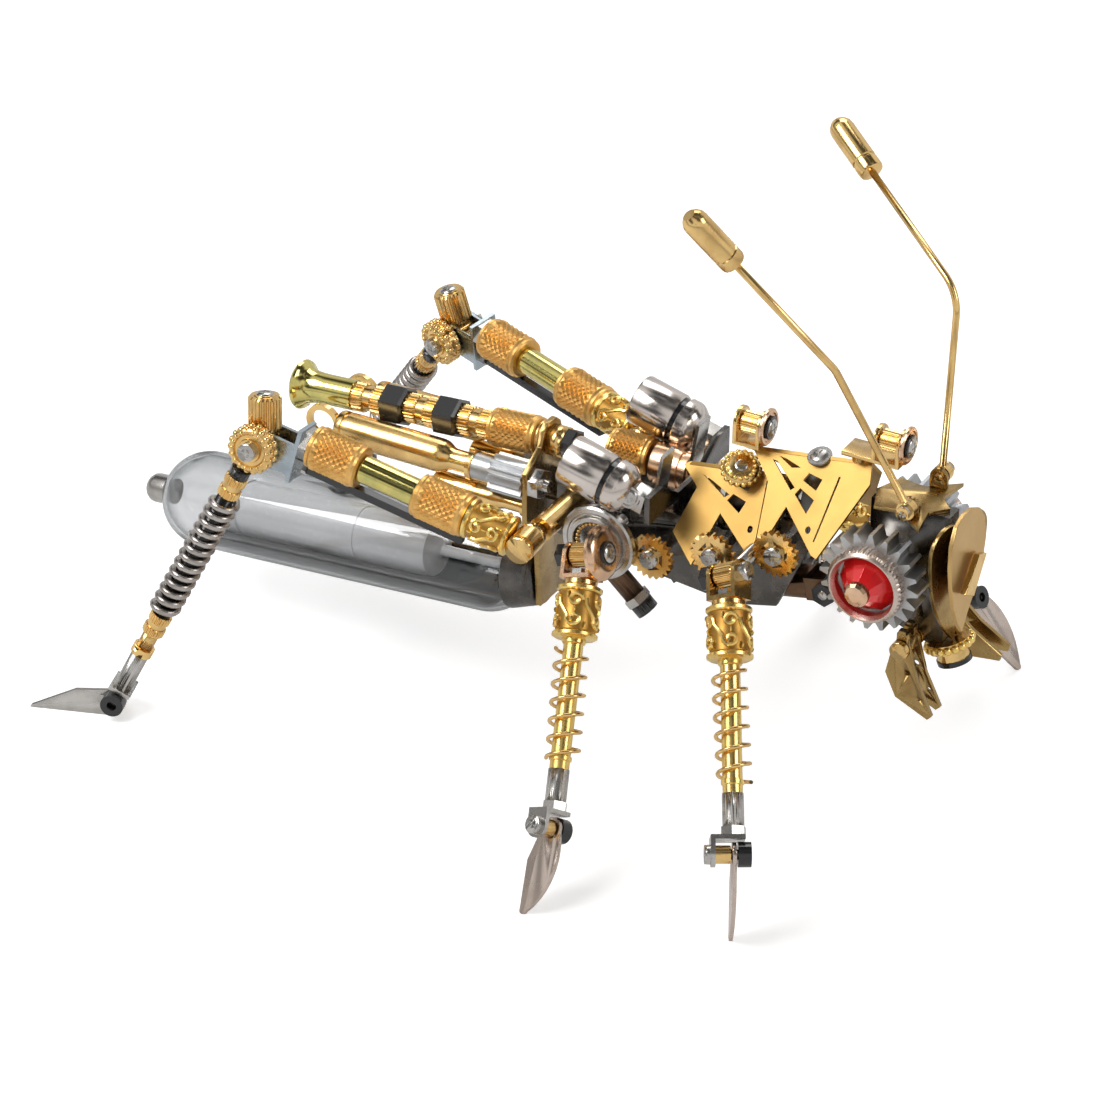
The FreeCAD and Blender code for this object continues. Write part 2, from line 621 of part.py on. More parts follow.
def coil(label, radius, wire, turns, height, below):
    """A square-wire spring of short straight runs round the limb."""
    steps = 8
    middle, half = size(radius), size(wire) / 2
    count = int(size(turns)) * steps
    rise = (size(height) - 2 * half) / count
    rings = []
    for step in range(count + 1):
        angle = 2 * math.pi * step / steps
        height_here = -size(below) - half - rise * step
        rings.append([Vector((middle + a * half) * math.cos(angle),
                             (middle + a * half) * math.sin(angle), height_here + b * half)
                      for a, b in ((-1, -1), (1, -1), (1, 1), (-1, 1))])
    faces = [rings[0], rings[-1]]
    for near, far in zip(rings, rings[1:]):
        for corner in range(4):
            after = (corner + 1) % 4
            faces.append([near[corner], near[after], far[after]])
            faces.append([near[corner], far[after], far[corner]])
    sides = [Part.Face(Part.makePolygon(face + face[:1])) for face in faces]
    shell_shape = Part.makeShell(sides)
    shell_shape.sewShape()
    solid = Part.Solid(shell_shape)
    if solid.Volume < 0:
        solid.reverse()
    spring = doc.addObject("Part::Feature", label)
    spring.Shape = solid
    return spring


def mirrored(piece, label):
    """The same piece on the insect's other side."""
    twin = doc.addObject("Part::Mirroring", label)
    twin.Source = piece
    twin.Base = Vector()
    twin.Normal = Y_AXIS
    return twin


# ---------------------------------------------------------------- abdomen
def abdomen():
    slope = size("bulb_slope")
    direction = Vector(-math.cos(math.radians(slope)), 0, -math.sin(math.radians(slope)))
    tilt = size("socket_radius") * math.tan(math.radians(slope))
    seat = size("row_x - plate_thick - socket_floor - 2*seat_gap") - tilt
    front = Vector(seat, 0, size("bulb_front_z"))
    place = aim(front, direction)
    far = "-(bulb_length - bulb_radius)"
    inner = "bulb_radius - bulb_wall"
    glass = turned("bulb_glass_wall", [
        (0, 0, "bulb_radius", -1), ("bulb_radius", "-bulb_radius"),
        ("bulb_radius", far, "bulb_radius", -1), (0, "-bulb_length"),
        (0, "-(bulb_length - bulb_wall)"),
        ("(%s)*sin(30)" % inner, "-(bulb_length - bulb_radius + (%s)*cos(30))" % inner),
        ("(%s)*sin(60)" % inner, "-(bulb_length - bulb_radius + (%s)*cos(60))" % inner),
        (inner, far), (inner, "-bulb_radius"),
        ("(%s)*sin(60)" % inner, "-(bulb_radius - (%s)*cos(60))" % inner),
        ("(%s)*sin(30)" % inner, "-(bulb_radius - (%s)*cos(30))" % inner),
        (0, "-bulb_wall")])
    node("bulb_glass", [glass], place)
    tube = ring("reflector_tube", "core_radius", "core_radius - core_wall", "core_length")
    hang(tube, "core_start", "core_length")
    stem = round_bar("reflector_stem", "core_wall*2", "core_start - bulb_wall - core_stem_gap",
                     "bulb_wall + core_stem_gap")
    disc = round_bar("reflector_disc", "core_radius", "core_wall", "core_start - core_wall")
    node("bulb_core", [tube, joined("reflector_foot", [stem, disc])], place)
    nipple = turned("tail_nipple", [
        (0, "-(bulb_length + seat_gap)"), ("nipple_radius", "-(bulb_length + seat_gap)"),
        ("nipple_radius", "-(bulb_length + nipple_length - nipple_edge)"),
        ("nipple_radius - nipple_edge", "-(bulb_length + nipple_length)"),
        (0, "-(bulb_length + nipple_length)")])
    seat = "bulb_radius + seat_gap"
    cup = turned("bulb_socket", [
        (0, "seat_gap", seat, -1),
        ("(%s)*sqrt(0.5)" % seat, "-bulb_radius + (%s)*sqrt(0.5)" % seat),
        ("socket_radius + 2*sheet_metal", "-socket_length + socket_floor"),
        ("socket_radius", "socket_floor"), (0, "socket_floor")])
    node("bulb_caps", [nipple, cup], place)


def twin_nodes(name, pieces, placement=None):
    """A left-hand node and its mirror image on the right."""
    source = compound(name % "pair", pieces, placement)
    node(name % "left", [source])
    node(name % "right", [mirrored(source, name % "twin")])


def side_node(name, side_name, pieces, placement=None):
    """A node of one side, modelled on the left and mirrored where it belongs on the right."""
    source = compound(name % (side_name + "_as_left"), pieces, placement)
    if side_name == "left":
        node(name % side_name, [source])
        return
    node(name % side_name, [mirrored(source, name % "turned_over")])


# ---------------------------------------------------------------- thorax frame
def gear_place(index):
    return ("gear_one_x + gear_pitch_x*%d" % index, "gear_one_z + gear_pitch_z*%d" % index)


def side_plates(gussets):
    """Two plates that carry every axle, with the middle bulkhead and the shell gussets."""
    last_x, last_z = gear_place(2)
    points = [("row_x", "hind_hip_z - 8"), ("mid_hip_x", "mid_hip_z - 9.5"),
              ("front_hip_x - 6", "front_hip_z - 16"), ("front_hip_x + 4", "front_hip_z - 13.5"),
              (last_x + " + hub_margin", last_z + " - hub_margin"),
              (last_x + " + hub_margin", last_z + " + hub_margin"),
              (last_x + " - hub_margin", last_z + " + hub_margin"),
              (last_x + " - hub_margin", last_z), ("front_hip_x - 8", "mid_hip_z + 4.6"), ("row_x + 4.6", "hind_hip_z + 5"),
              ("row_x + 4.6", "bullet_z - nut_radius - 1.2"),
              ("row_x", "bullet_z - nut_radius - 1.2")]
    holes = [(name + "_hip_x", name + "_hip_z", "axle_radius + seat_gap")
             for name in ("hind", "mid", "front")]
    side = plate("side_plate", points, "plate_thick", holes, role="XZ_Plane")
    put(side, y="plate_half_gap + plate_thick/2")
    other = mirrored(side, "side_plate_twin")
    wing = "motor_y + 2.6"
    low = "(mid_hip_z - 6)"
    shoulder = "(mid_hip_z + 8)"
    middle = plate("mid_bulkhead", [
        ("-plate_half_gap", low), ("plate_half_gap", low), ("plate_half_gap", shoulder),
        (wing, shoulder), (wing, "bulkhead_top"), ("motor_y - 3", "bulkhead_top"),
        ("plate_half_gap", "shoulder_rise"), ("-plate_half_gap", "shoulder_rise"),
        ("-(motor_y - 3)", "bulkhead_top"), ("-(%s)" % wing, "bulkhead_top"),
        ("-(%s)" % wing, shoulder), ("-plate_half_gap", shoulder)], "plate_thick",
        role="YZ_Plane")
    put(middle, x="bulkhead_x + plate_thick/2")
    node("side_plates", [side, other, middle] + gussets)


def rear_bulkhead():
    """The link plate that joins the pipe row, both bullet rows and the bulb socket."""
    edge = "(plate_half_gap + plate_thick)"
    arm = "(bullet_y + hub_margin)"
    right_side = [
        ("socket_radius*0.7", "bulb_front_z - socket_radius*0.7"),
        (edge, "hind_hip_z - 8"), (arm, "bullet_z - small_drop - hub_margin"),
        (arm, "bullet_z + hub_margin"), ("cap_radius + 1", "pipe_z"),
        ("cap_radius", "pipe_z + hub_margin"), ("cap_radius/2", "pipe_z + cap_radius + 1")]
    left_side = [("-(%s)" % y, z) for y, z in reversed(right_side)]
    link = plate("link_plate", right_side + left_side, "plate_thick", role="YZ_Plane")
    put(link, x="row_x - plate_thick/2")
    pieces = [link]
    for name, side in SIDES:
        nut = facet_bar("row_nut_" + name, HEXAGON, "nut_radius + 0.8", "nut_height + 0.6")
        stud = round_bar("row_stud_" + name, "pin_radius + 0.3", "nut_height + 2")
        bolt = joined("row_bolt_" + name, [nut, stud])
        put(bolt, x="row_x", y="%d*bullet_y" % side, z="bullet_z", rotation=turn(Y_AXIS, 90))
        pieces.append(bolt)
    node("link_plate_and_nuts", pieces)


def pipe_row():
    """Trumpet pipe, fluted inserts and black nuts, one after the other on one axis."""
    slope = math.radians(size("pipe_slope"))
    direction = Vector(-math.cos(slope), 0, -math.sin(slope))
    front = Vector(size("row_x - plate_thick"), 0, size("pipe_z"))
    place = aim(front, direction)
    tilt = "sleeve_radius*%.4f" % math.tan(slope)
    washer = round_bar("row_washer", "sleeve_radius - 0.5", "row_washer", tilt)
    at = "%s + row_washer" % tilt
    sleeve = hang(turned("row_sleeve", [
        (0, 0), ("sleeve_radius - sleeve_chamfer", 0), ("sleeve_radius", "sleeve_chamfer"),
        ("sleeve_radius", "sleeve_length - sleeve_chamfer"),
        ("sleeve_radius - sleeve_chamfer", "sleeve_length"), (0, "sleeve_length")]),
        at, "sleeve_length")
    at += " + sleeve_length"
    step = "2*row_band + row_groove"
    inserts, nuts = [], []
    for index in range(3):
        inserts.append(insert("row_insert_%d" % index, at, "row_insert_radius", "row_band",
                              "row_groove"))
        at += " + " + step
        if index < 2:
            nuts.append(facet_bar("black_nut_%d" % index, HEXAGON, "black_nut_radius",
                                  "black_nut_length", at))
            at += " + black_nut_length"
    pipe = hang(turned("pipe_wall", [
        ("pipe_bore", 0), ("flange_radius", 0), ("flange_radius", "flange_length"),
        ("pipe_radius", "flange_length"), ("pipe_radius", "pipe_length"),
        ("pipe_bore", "pipe_length")]), at, "pipe_length")
    node("trumpet_pipe", [pipe], place)
    node("pipe_inserts", inserts, place)
    ahead = aim(Vector(size("row_x"), 0, size("pipe_z")), Vector(1, 0, 0))
    collar = facet_bar("row_collar", 16, "cap_radius", "cap_length", "seat_gap")
    cap = facet_bar("row_cap", 16, "cap_radius - 0.2", "black_cap", "seat_gap + cap_length")
    node("pipe_sleeve", [compound("row_sleeve_group", [washer, sleeve], place),
                         compound("row_collar_group", [collar], ahead)])
    node("pipe_nuts", [compound("black_nut_group", nuts, place),
                       compound("row_cap_group", [cap], ahead)])


def bullet(label, radius, body, start):
    """A bottle-neck shell lying down local -Z, mouth first."""
    at = start
    profile = [(0, "-(%s)" % at), ("%s - 0.3" % radius, "-(%s)" % at)]
    at += " + rim_length"
    profile += [("%s - 0.3" % radius, "-(%s)" % at), ("%s*0.64" % radius, "-(%s)" % at)]
    at += " + bullet_neck"
    profile += [("%s*0.64" % radius, "-(%s)" % at)]
    at += " + bullet_shoulder"
    profile += [(radius, "-(%s)" % at)]
    at += " + " + body
    profile += [(radius, "-(%s)" % at), (0, "-(%s)" % at)]
    return turned(label, profile), at


def bullet_rows():
    """On each side a pinion and a brass shell on the link plate, and a smaller shell below."""
    backwards = Vector(-1, 0, 0)
    behind = size("row_x - plate_thick")
    large, small, pinions, loops = [], [], [], []
    for name, side in SIDES:
        row = aim(Vector(behind, side * size("bullet_y"), size("bullet_z")), backwards)
        wheel = gear("pinion_" + name, "pinion_teeth", "pinion_radius", "pinion_depth",
                     "pinion_length", "0.4*pinion_radius")
        put(wheel, z="-pinion_length")
        hub = round_bar("pinion_hub_" + name, "hub_radius", "hub_length", "pinion_length")
        pinions.append(compound("pinion_row_" + name, [wheel, hub], row))
        shell, end = bullet("bullet_" + name, "bullet_radius", "bullet_body",
                            "pinion_length + hub_length")
        large.append(compound("bullet_row_" + name, [shell], row))
        lower = aim(Vector(behind, side * size("bullet_y"), size("bullet_z - small_drop")),
                    backwards)
        lesser, _ = bullet("small_bullet_" + name, "small_bullet", "small_body", "seat_gap")
        large.append(compound("small_bullet_row_" + name, [lesser], lower))
        loop = ring("loop_" + name, "loop_radius", "loop_radius - loop_wire", "loop_wire")
        put(loop, y="loop_wire/2", z="-(%s + loop_radius + seat_gap)" % end,
            rotation=turn(X_AXIS, 90))
        loops.append(compound("loop_row_" + name, [loop], row))
    node("bullet_shells", large + loops)
    node("pinions", pinions)


def motors():
    """Two chromed cups with black bands, each on a square block at the middle bulkhead."""
    slope = math.radians(size("motor_slope"))
    direction = Vector(-math.cos(slope), 0, math.sin(slope))
    place = aim(Vector(size("bulkhead_x"), size("motor_y"), size("motor_z")), direction)
    block = primitive("Box", "motor_block", Length="neck_block", Width="neck_block",
                      Height="motor_neck")
    put(block, x="-neck_block/2", y="-neck_block/2", z="-(motor_seat + motor_neck)")
    at = "(motor_seat + motor_neck)"
    nose = turned("motor_nose", [
        (0, 0), ("motor_radius - motor_edge", 0),
        ("motor_radius - motor_edge*0.4", "-motor_edge*0.4"), ("motor_radius", "-motor_edge"),
        ("motor_radius", "-motor_nose"), (0, "-motor_nose")])
    hang(nose, at)
    band = round_bar("motor_band", "motor_radius - 0.5", "motor_band", at + " + motor_nose")
    cup = round_bar("motor_cup", "motor_radius", "motor_cup", at + " + motor_nose + motor_band")
    left = compound("motor_left", [block, nose, cup], place)
    node("motor_cups", [left, mirrored(left, "motor_right")])
    band_left = compound("band_left", [band], place)
    node("motor_bands", [band_left, mirrored(band_left, "band_right")])


def belly_rods():
    """Two ribbed rods that lean forward under the thorax, each with a black bolt."""
    start = Vector(size("belly_x"), size("plate_half_gap + plate_thick + belly_radius*1.2"),
                   size("belly_z"))
    place = aim(start, Vector(0.68, -0.1, -0.73))
    rod = facet_bar("belly_rod", 16, "belly_radius", "belly_length", "-hub_margin*2")
    nut = facet_bar("belly_nut", HEXAGON, "belly_radius + 0.6", "nut_height",
                    "belly_length - hub_margin*2")
    cap = round_bar("belly_bolt", "belly_radius + 0.2", "nut_height + 0.8",
                    "belly_length - hub_margin*2 + nut_height")
    left = compound("belly_left", [rod, nut, cap], place)
    node("belly_rods", [left, mirrored(left, "belly_right")])


# ---------------------------------------------------------------- cross rods and hips
def leg_frame(name):
    """Placement of a left leg whose ankle pin is at its height, and its hip axis."""
    hip = Vector(size(name + "_hip_x"), size(name + "_hip_y"), size(name + "_hip_z"))
    rake = size(name + "_rake")
    lean = turn(Y_AXIS, -rake)
    fall = hip.z - size(name + "_ankle_z")
    splay = math.degrees(math.acos(fall / (size("leg_length") * math.cos(math.radians(rake)))))
    leg = Placement(hip, lean.multiply(turn(X_AXIS, splay)))
    return leg, lean.multVec(X_AXIS)


def claw_frame(ankle, reach, heading):
    """Direction of a claw from its pin, so that its tip stands on the ground."""
    fall = (ankle.z + size("tip_grind")) / size(reach)
    level = math.sqrt(1 - fall * fall)
    ahead = math.radians(size(heading))
    return Vector(level * math.sin(ahead), level * math.cos(ahead), -fall)


ROLLER_SPAN = "(roller_length/2 + 2*side_gap + sheet_metal)"


def hind_hip(name, side):
    """Place and axis of a hind hip, and the direction of its thigh."""
    rise = math.radians(size("thigh_rise_" + name))
    splay = math.radians(size("thigh_splay_" + name))
    hip = Vector(size("hind_hip_x"), side * size("hind_hip_y"), size("hind_hip_z"))
    hinge = Vector(side * math.sin(splay), math.cos(splay), 0)
    back = Vector(-math.cos(rise) * math.cos(splay), side * math.cos(rise) * math.sin(splay),
                  math.sin(rise))
    return hip, hinge, back


def hips():
    """Cross rods, the fluted rollers at their ends, and the screws of all hips."""
    rods, rollers, rings = [], [], []
    for name in ("mid", "front"):
        leg, axis = leg_frame(name)
        PIVOTS[name + "_hip"] = (leg.Base, axis)
        reach = "%s_hip_y - insert_radius - seat_gap" % name
        rod = round_bar(name + "_rod", "axle_radius", "2*(%s)" % reach)
        put(rod, x=name + "_hip_x", y="-(%s)" % reach, z=name + "_hip_z",
            rotation=turn(X_AXIS, -90))
        rods.append(rod)
        band = "(roller_length - insert_groove)/2"
        roller = insert(name + "_roller", "-roller_length/2", band=band,
                        bore="pin_radius + seat_gap/2")
        seat = Placement(leg.Base, Rotation(DOWN, axis))
        left = compound(name + "_roller_left", [roller], seat)
        rollers += [left, mirrored(left, name + "_roller_right")]
        head = leg.Base + axis * size(ROLLER_SPAN)
        screw = hinge_screw(name + "_hip_screw", "2*%s + nut_height" % ROLLER_SPAN)
        nut = hang(hex_nut(name + "_hip_nut", "pin_radius + seat_gap/2"),
                   "2*" + ROLLER_SPAN, "nut_height")
        pair = compound(name + "_screw_left", [screw, nut], aim(head, -axis))
        rods += [pair, mirrored(pair, name + "_screw_right")]
    inner = "(thigh_eye_width/2 + side_gap)"
    reach = "(hind_hip_y - %s - axle_radius/2)" % inner
    axle = round_bar("hind_rod", "axle_radius", "2*" + reach)
    put(axle, x="hind_hip_x", y="-" + reach, z="hind_hip_z", rotation=turn(X_AXIS, -90))
    pin_piece = turned("hind_pin", [
        (0, inner + " + axle_radius*1.5"), ("axle_radius", inner + " + axle_radius*1.5"),
        ("axle_radius", inner + " + head_height"), ("head_radius + 1", inner + " + head_height"),
        ("head_radius + 1", inner), ("axle_radius", inner), ("axle_radius", "-" + inner),
        ("head_radius + 1", "-" + inner), ("head_radius + 1", "-(%s + head_height)" % inner),
        (0, "-(%s + head_height)" % inner)])
    ends, collars = [axle], []
    collar_length = "(%s - plate_half_gap - plate_thick - 2*axle_radius)" % reach
    for name, side in SIDES:
        hip, hinge, back = hind_hip(name, side)
        ends.append(compound("hind_pin_" + name, [pin_piece], aim(hip, hinge * side)))
        collar = ring("hind_collar_" + name, "axle_radius + 1.1", "axle_radius + seat_gap/2",
                      collar_length)
        put(collar, x="hind_hip_x", y="%d*(plate_half_gap + plate_thick)" % side,
            z="hind_hip_z", rotation=turn(X_AXIS, -90 * side))
        collars.append(collar)
        PIVOTS["hind_%s_hip" % name] = (hip, hinge)
    rods += [joined("hind_axle", ends)] + collars
    node("cross_rods", rods)
    node("hip_rollers", rollers)
    inside = "hip_ring_radius - hip_ring_wall"
    race = turned("hip_race", [
        ("axle_radius + seat_gap/2", 0), ("hip_ring_radius", 0),
        ("hip_ring_radius", "hip_ring_width"), (inside, "hip_ring_width"),
        (inside, "hip_disc_width"), ("axle_radius + seat_gap/2", "hip_disc_width")])
    place = Placement(Vector(size("mid_hip_x"), size("gear_y + gear_width + side_gap"),
                             size("mid_hip_z")), turn(X_AXIS, -90))
    left = compound("hip_ring_left", [race], place)
    node("hip_rings", [left, mirrored(left, "hip_ring_right")])


# ---------------------------------------------------------------- shells and gears
SHELL_DEPTH = "shell_sheet*sqrt(1 + (shell_drop/shell_half)^2)"


def shell(name, length, points, windows, gusset_at, gusset_drop):
    """A folded brass tent, cut to its zigzag outline, on a gusset between the side plates."""
    low = "-(shell_drop + %s)" % SHELL_DEPTH
    tent = plate(name + "_fold", [
        (0, 0), ("-shell_half", "-shell_drop"), ("-shell_half", low),
        (0, "-(%s)" % SHELL_DEPTH), ("shell_half", low), ("shell_half", "-shell_drop")],
        length, role="YZ_Plane")
    put(tent, x=length + "/2")
    cutter = plate(name + "_silhouette", points, "3*shell_half", windows=windows,
                   role="XZ_Plane")
    folded = doc.addObject("Part::Common", name + "_sheet")
    folded.Base = tent
    folded.Tool = cutter
    slope = "(shell_drop/shell_half)"
    top = "-(%s + 2*seat_gap)" % SHELL_DEPTH
    gusset = plate(name + "_gusset", [
        ("-plate_half_gap", "-(%s)" % gusset_drop), ("plate_half_gap", "-(%s)" % gusset_drop),
        ("plate_half_gap", "%s - %s*plate_half_gap" % (top, slope)), (0, top),
        ("-plate_half_gap", "%s - %s*plate_half_gap" % (top, slope))],
        "plate_thick", role="YZ_Plane")
    put(gusset, x=gusset_at)
    place = Placement(Vector(size(name + "_shell_x"), 0, size(name + "_ridge_z")),
                      turn(Y_AXIS, -size("shell_rise")))
    node(name + "_shell", [folded], place)
    return compound(name + "_gusset_group", [gusset], place)


def diamond(length, x, drop, half="1.7"):
    """A square window standing on its corner."""
    middle_x, middle_z = "%s*%s" % (length, x), "-shell_drop*%s" % drop
    return [("%s - %s" % (middle_x, half), middle_z), (middle_x, "%s - %s" % (middle_z, half)),
            ("%s + %s" % (middle_x, half), middle_z), (middle_x, "%s + %s" % (middle_z, half))]


def shells():
    def at(length, share, drop):
        return ("%s*%s" % (length, share), "-shell_drop*%s" % drop)

    rear = "rear_shell_length"
    rear_points = [(0, "shell_sheet"), (0, 0), at(rear, 0.14, 0.64), at(rear, 0.28, 1.2),
                   at(rear, 0.54, 0.36), at(rear, 0.71, 0.36), at(rear, 0.97, 0.92),
                   at(rear, 1.0, 0.25), (rear, "shell_sheet")]
    rear_windows = [diamond(rear, 0.3, 0.74, "1.5"),
                    [at(rear, 0.12, 0.14), at(rear, 0.27, 0.42), at(rear, 0.45, 0.58),
                     at(rear, 0.36, 0.42)]]
    front = "front_shell_length"
    front_points = [(0, "shell_sheet"), (0, 0), at(front, 0.22, 0.7), at(front, 0.25, 1.12),
                    at(front, 0.56, 0.48), at(front, 0.68, 1.06), at(front, 0.96, 0.2),
                    (front, "shell_sheet")]
    front_windows = [diamond(front, 0.48, 0.32, "1.5"),
                     [at(front, 0.1, 0.14), at(front, 0.2, 0.42), at(front, 0.42, 0.6),
                      at(front, 0.3, 0.4)]]
    first = shell("rear", rear, rear_points, rear_windows, "rear_shell_length*0.36",
                  "shell_drop + 2")
    second = shell("front", front, front_points, front_windows, "front_shell_length*0.45",
                   "shell_drop + 5")
    return [first, second]


def spoke_windows():
    """Five windows between the spokes of a side gear."""
    inner, outer = "(gear_boss)", "(gear_radius - gear_depth - gear_rim)"
    windows = []
    for spoke in range(5):
        corners = []
        for radius, shift in ((inner, -20), (outer, -27), (outer, 27), (inner, 20)):
            angle = math.radians(spoke * 72 + shift)
            corners.append(("%s*%.6f" % (radius, math.cos(angle)),
                            "%s*%.6f" % (radius, math.sin(angle))))
        windows.append(corners)
    return windows


def side_gears():
    """Three spoked gears a side, each clamped to its side plate by a screw with a collar."""
    wheels, screws = [], []
    for index in range(3):
        x, z = gear_place(index)
        wheel = gear("side_gear_%d" % index, "gear_teeth", "gear_radius", "gear_depth",
                     "gear_width", "pin_radius + seat_gap/2", spoke_windows())
        put(wheel, x=x, y="gear_y", z=z, rotation=turn(X_AXIS, -90))
        wheels += [wheel, mirrored(wheel, "side_gear_twin_%d" % index)]
        screw = hinge_screw("gear_screw_%d" % index, "gear_width")
        put(screw, x=x, y="gear_y + gear_width", z=z, rotation=turn(X_AXIS, -90))
        standoff = facet_bar("gear_standoff_%d" % index, HEXAGON, "gear_boss*0.75",
                             "gear_y - plate_half_gap - plate_thick")
        put(standoff, x=x, y="plate_half_gap + plate_thick", z=z, rotation=turn(X_AXIS, -90))
        pair = compound("gear_screw_pair_%d" % index, [screw, standoff])
        screws += [pair, mirrored(pair, "gear_screw_twin_%d" % index)]
    node("side_gears", wheels)
    node("gear_screws", screws)


def eyelets():
    """Two clevis eyelets with fluted rollers that stand on the ridges of the shells."""
    brass, rollers = [], []
    rise = math.radians(size("shell_rise"))
    for name, x, tongue in (("rear", "eyelet_rear_x", "0"),
                            ("front", "eyelet_front_x", "eyelet_tongue")):
        ahead = size(x + " - front_shell_x")
        foot = Vector(size(x), 0, size("front_ridge_z + seat_gap") + ahead * math.tan(rise))
        place = Placement(foot, turn(Z_AXIS, 90))
        base = primitive("Box", name + "_eyelet_base", Length="2*eyelet_radius",
                         Width="eyelet_gap + 2*sheet_metal + " + tongue, Height="sheet_metal")
        put(base, x="-eyelet_radius", y="-(eyelet_gap/2 + sheet_metal)", z="sheet_metal")
        ears = []
        for side_name, side in SIDES:
            ear = plate(name + "_ear_" + side_name, [
                ("-eyelet_radius", "sheet_metal"), ("eyelet_radius", "sheet_metal"),
                ("eyelet_radius", "eyelet_rise", "eyelet_radius", 1),
                ("-eyelet_radius", "eyelet_rise")], "sheet_metal", role="XZ_Plane")
            put(ear, y="%d*(eyelet_gap + sheet_metal)/2" % side)
            ears.append(ear)
        stem = round_bar(name + "_eyelet_stem", "eyelet_radius*0.6",
                         "sheet_metal + %s*tan(shell_rise)" % tongue)
        put(stem, y=tongue, z="-%s*tan(shell_rise)" % tongue)
        brass.append(compound(name + "_eyelet", [joined(name + "_clevis", [base, stem] + ears)],
                              place))
        roller = facet_bar(name + "_eyelet_roller", FLUTES, "eyelet_roller",
                           "eyelet_gap - 2*seat_gap")
        put(roller, y="-(eyelet_gap/2 - seat_gap)", z="eyelet_rise",
            rotation=turn(X_AXIS, -90))
        brass.append(compound(name + "_roller_group", [roller], place))
    node("top_eyelets", brass)


# ---------------------------------------------------------------- neck and head
FORK_REACH = "(insert_radius + 1.6)"


def nod_point():
    return Vector(size("nod_x"), 0, size("nod_z"))


def neck():
    """Splined tube and collar from the side plates up to the nodding fork."""
    slope = math.radians(size("neck_slope"))
    place = aim(nod_point(), Vector(-math.cos(slope), 0, -math.sin(slope)))
    cheeks = []
    for name, side in SIDES:
        cheek = plate("fork_cheek_" + name, [
            ("-insert_radius", "-" + FORK_REACH), ("insert_radius", "-" + FORK_REACH),
            ("insert_radius", 0, "insert_radius", 1), ("-insert_radius", 0)],
            "sheet_metal", holes=[(0, 0, "pin_radius + running_fit")], role="XZ_Plane")
        put(cheek, y="%d*(fork_gap + sheet_metal)/2" % side)
        cheeks.append(cheek)
    web = primitive("Box", "fork_web", Length="2*insert_radius",
                    Width="fork_gap + 2*sheet_metal", Height="sheet_metal")
    put(web, x="-insert_radius", y="-(fork_gap/2 + sheet_metal)",
        z="-(%s + sheet_metal)" % FORK_REACH)
    at = FORK_REACH + " + sheet_metal"
    tube = facet_bar("neck_tube", 16, "neck_tube_radius", "neck_length", at)
    at += " + neck_length"
    collar = round_bar("neck_collar", "neck_collar_radius", "neck_collar_length", at)
    at += " + neck_collar_length"
    block = primitive("Box", "neck_block", Length="2*neck_tube_radius",
                      Width="2*plate_half_gap", Height="4*plate_thick")
    put(block, x="-neck_tube_radius", y="-plate_half_gap", z="-(%s + 4*plate_thick)" % at)
    nod = "(fork_gap/2 + sheet_metal + side_gap)"
    nod_screw = hinge_screw("nod_screw", "2*%s + nut_height" % nod)
    put(nod_screw, y=nod, rotation=turn(X_AXIS, -90))
    nod_nut = hex_nut("nod_nut", "pin_radius + seat_gap/2")
    put(nod_nut, y="-(%s + nut_height)" % nod, rotation=turn(X_AXIS, -90))
    node("neck_fork", [joined("neck_clevis", cheeks + [web]), tube, collar, block, nod_screw,
                       nod_nut], place)
    PIVOTS["nod"] = (nod_point(), Y_AXIS)


SKULL_WIDTH = "(fork_gap - 2*side_gap)"


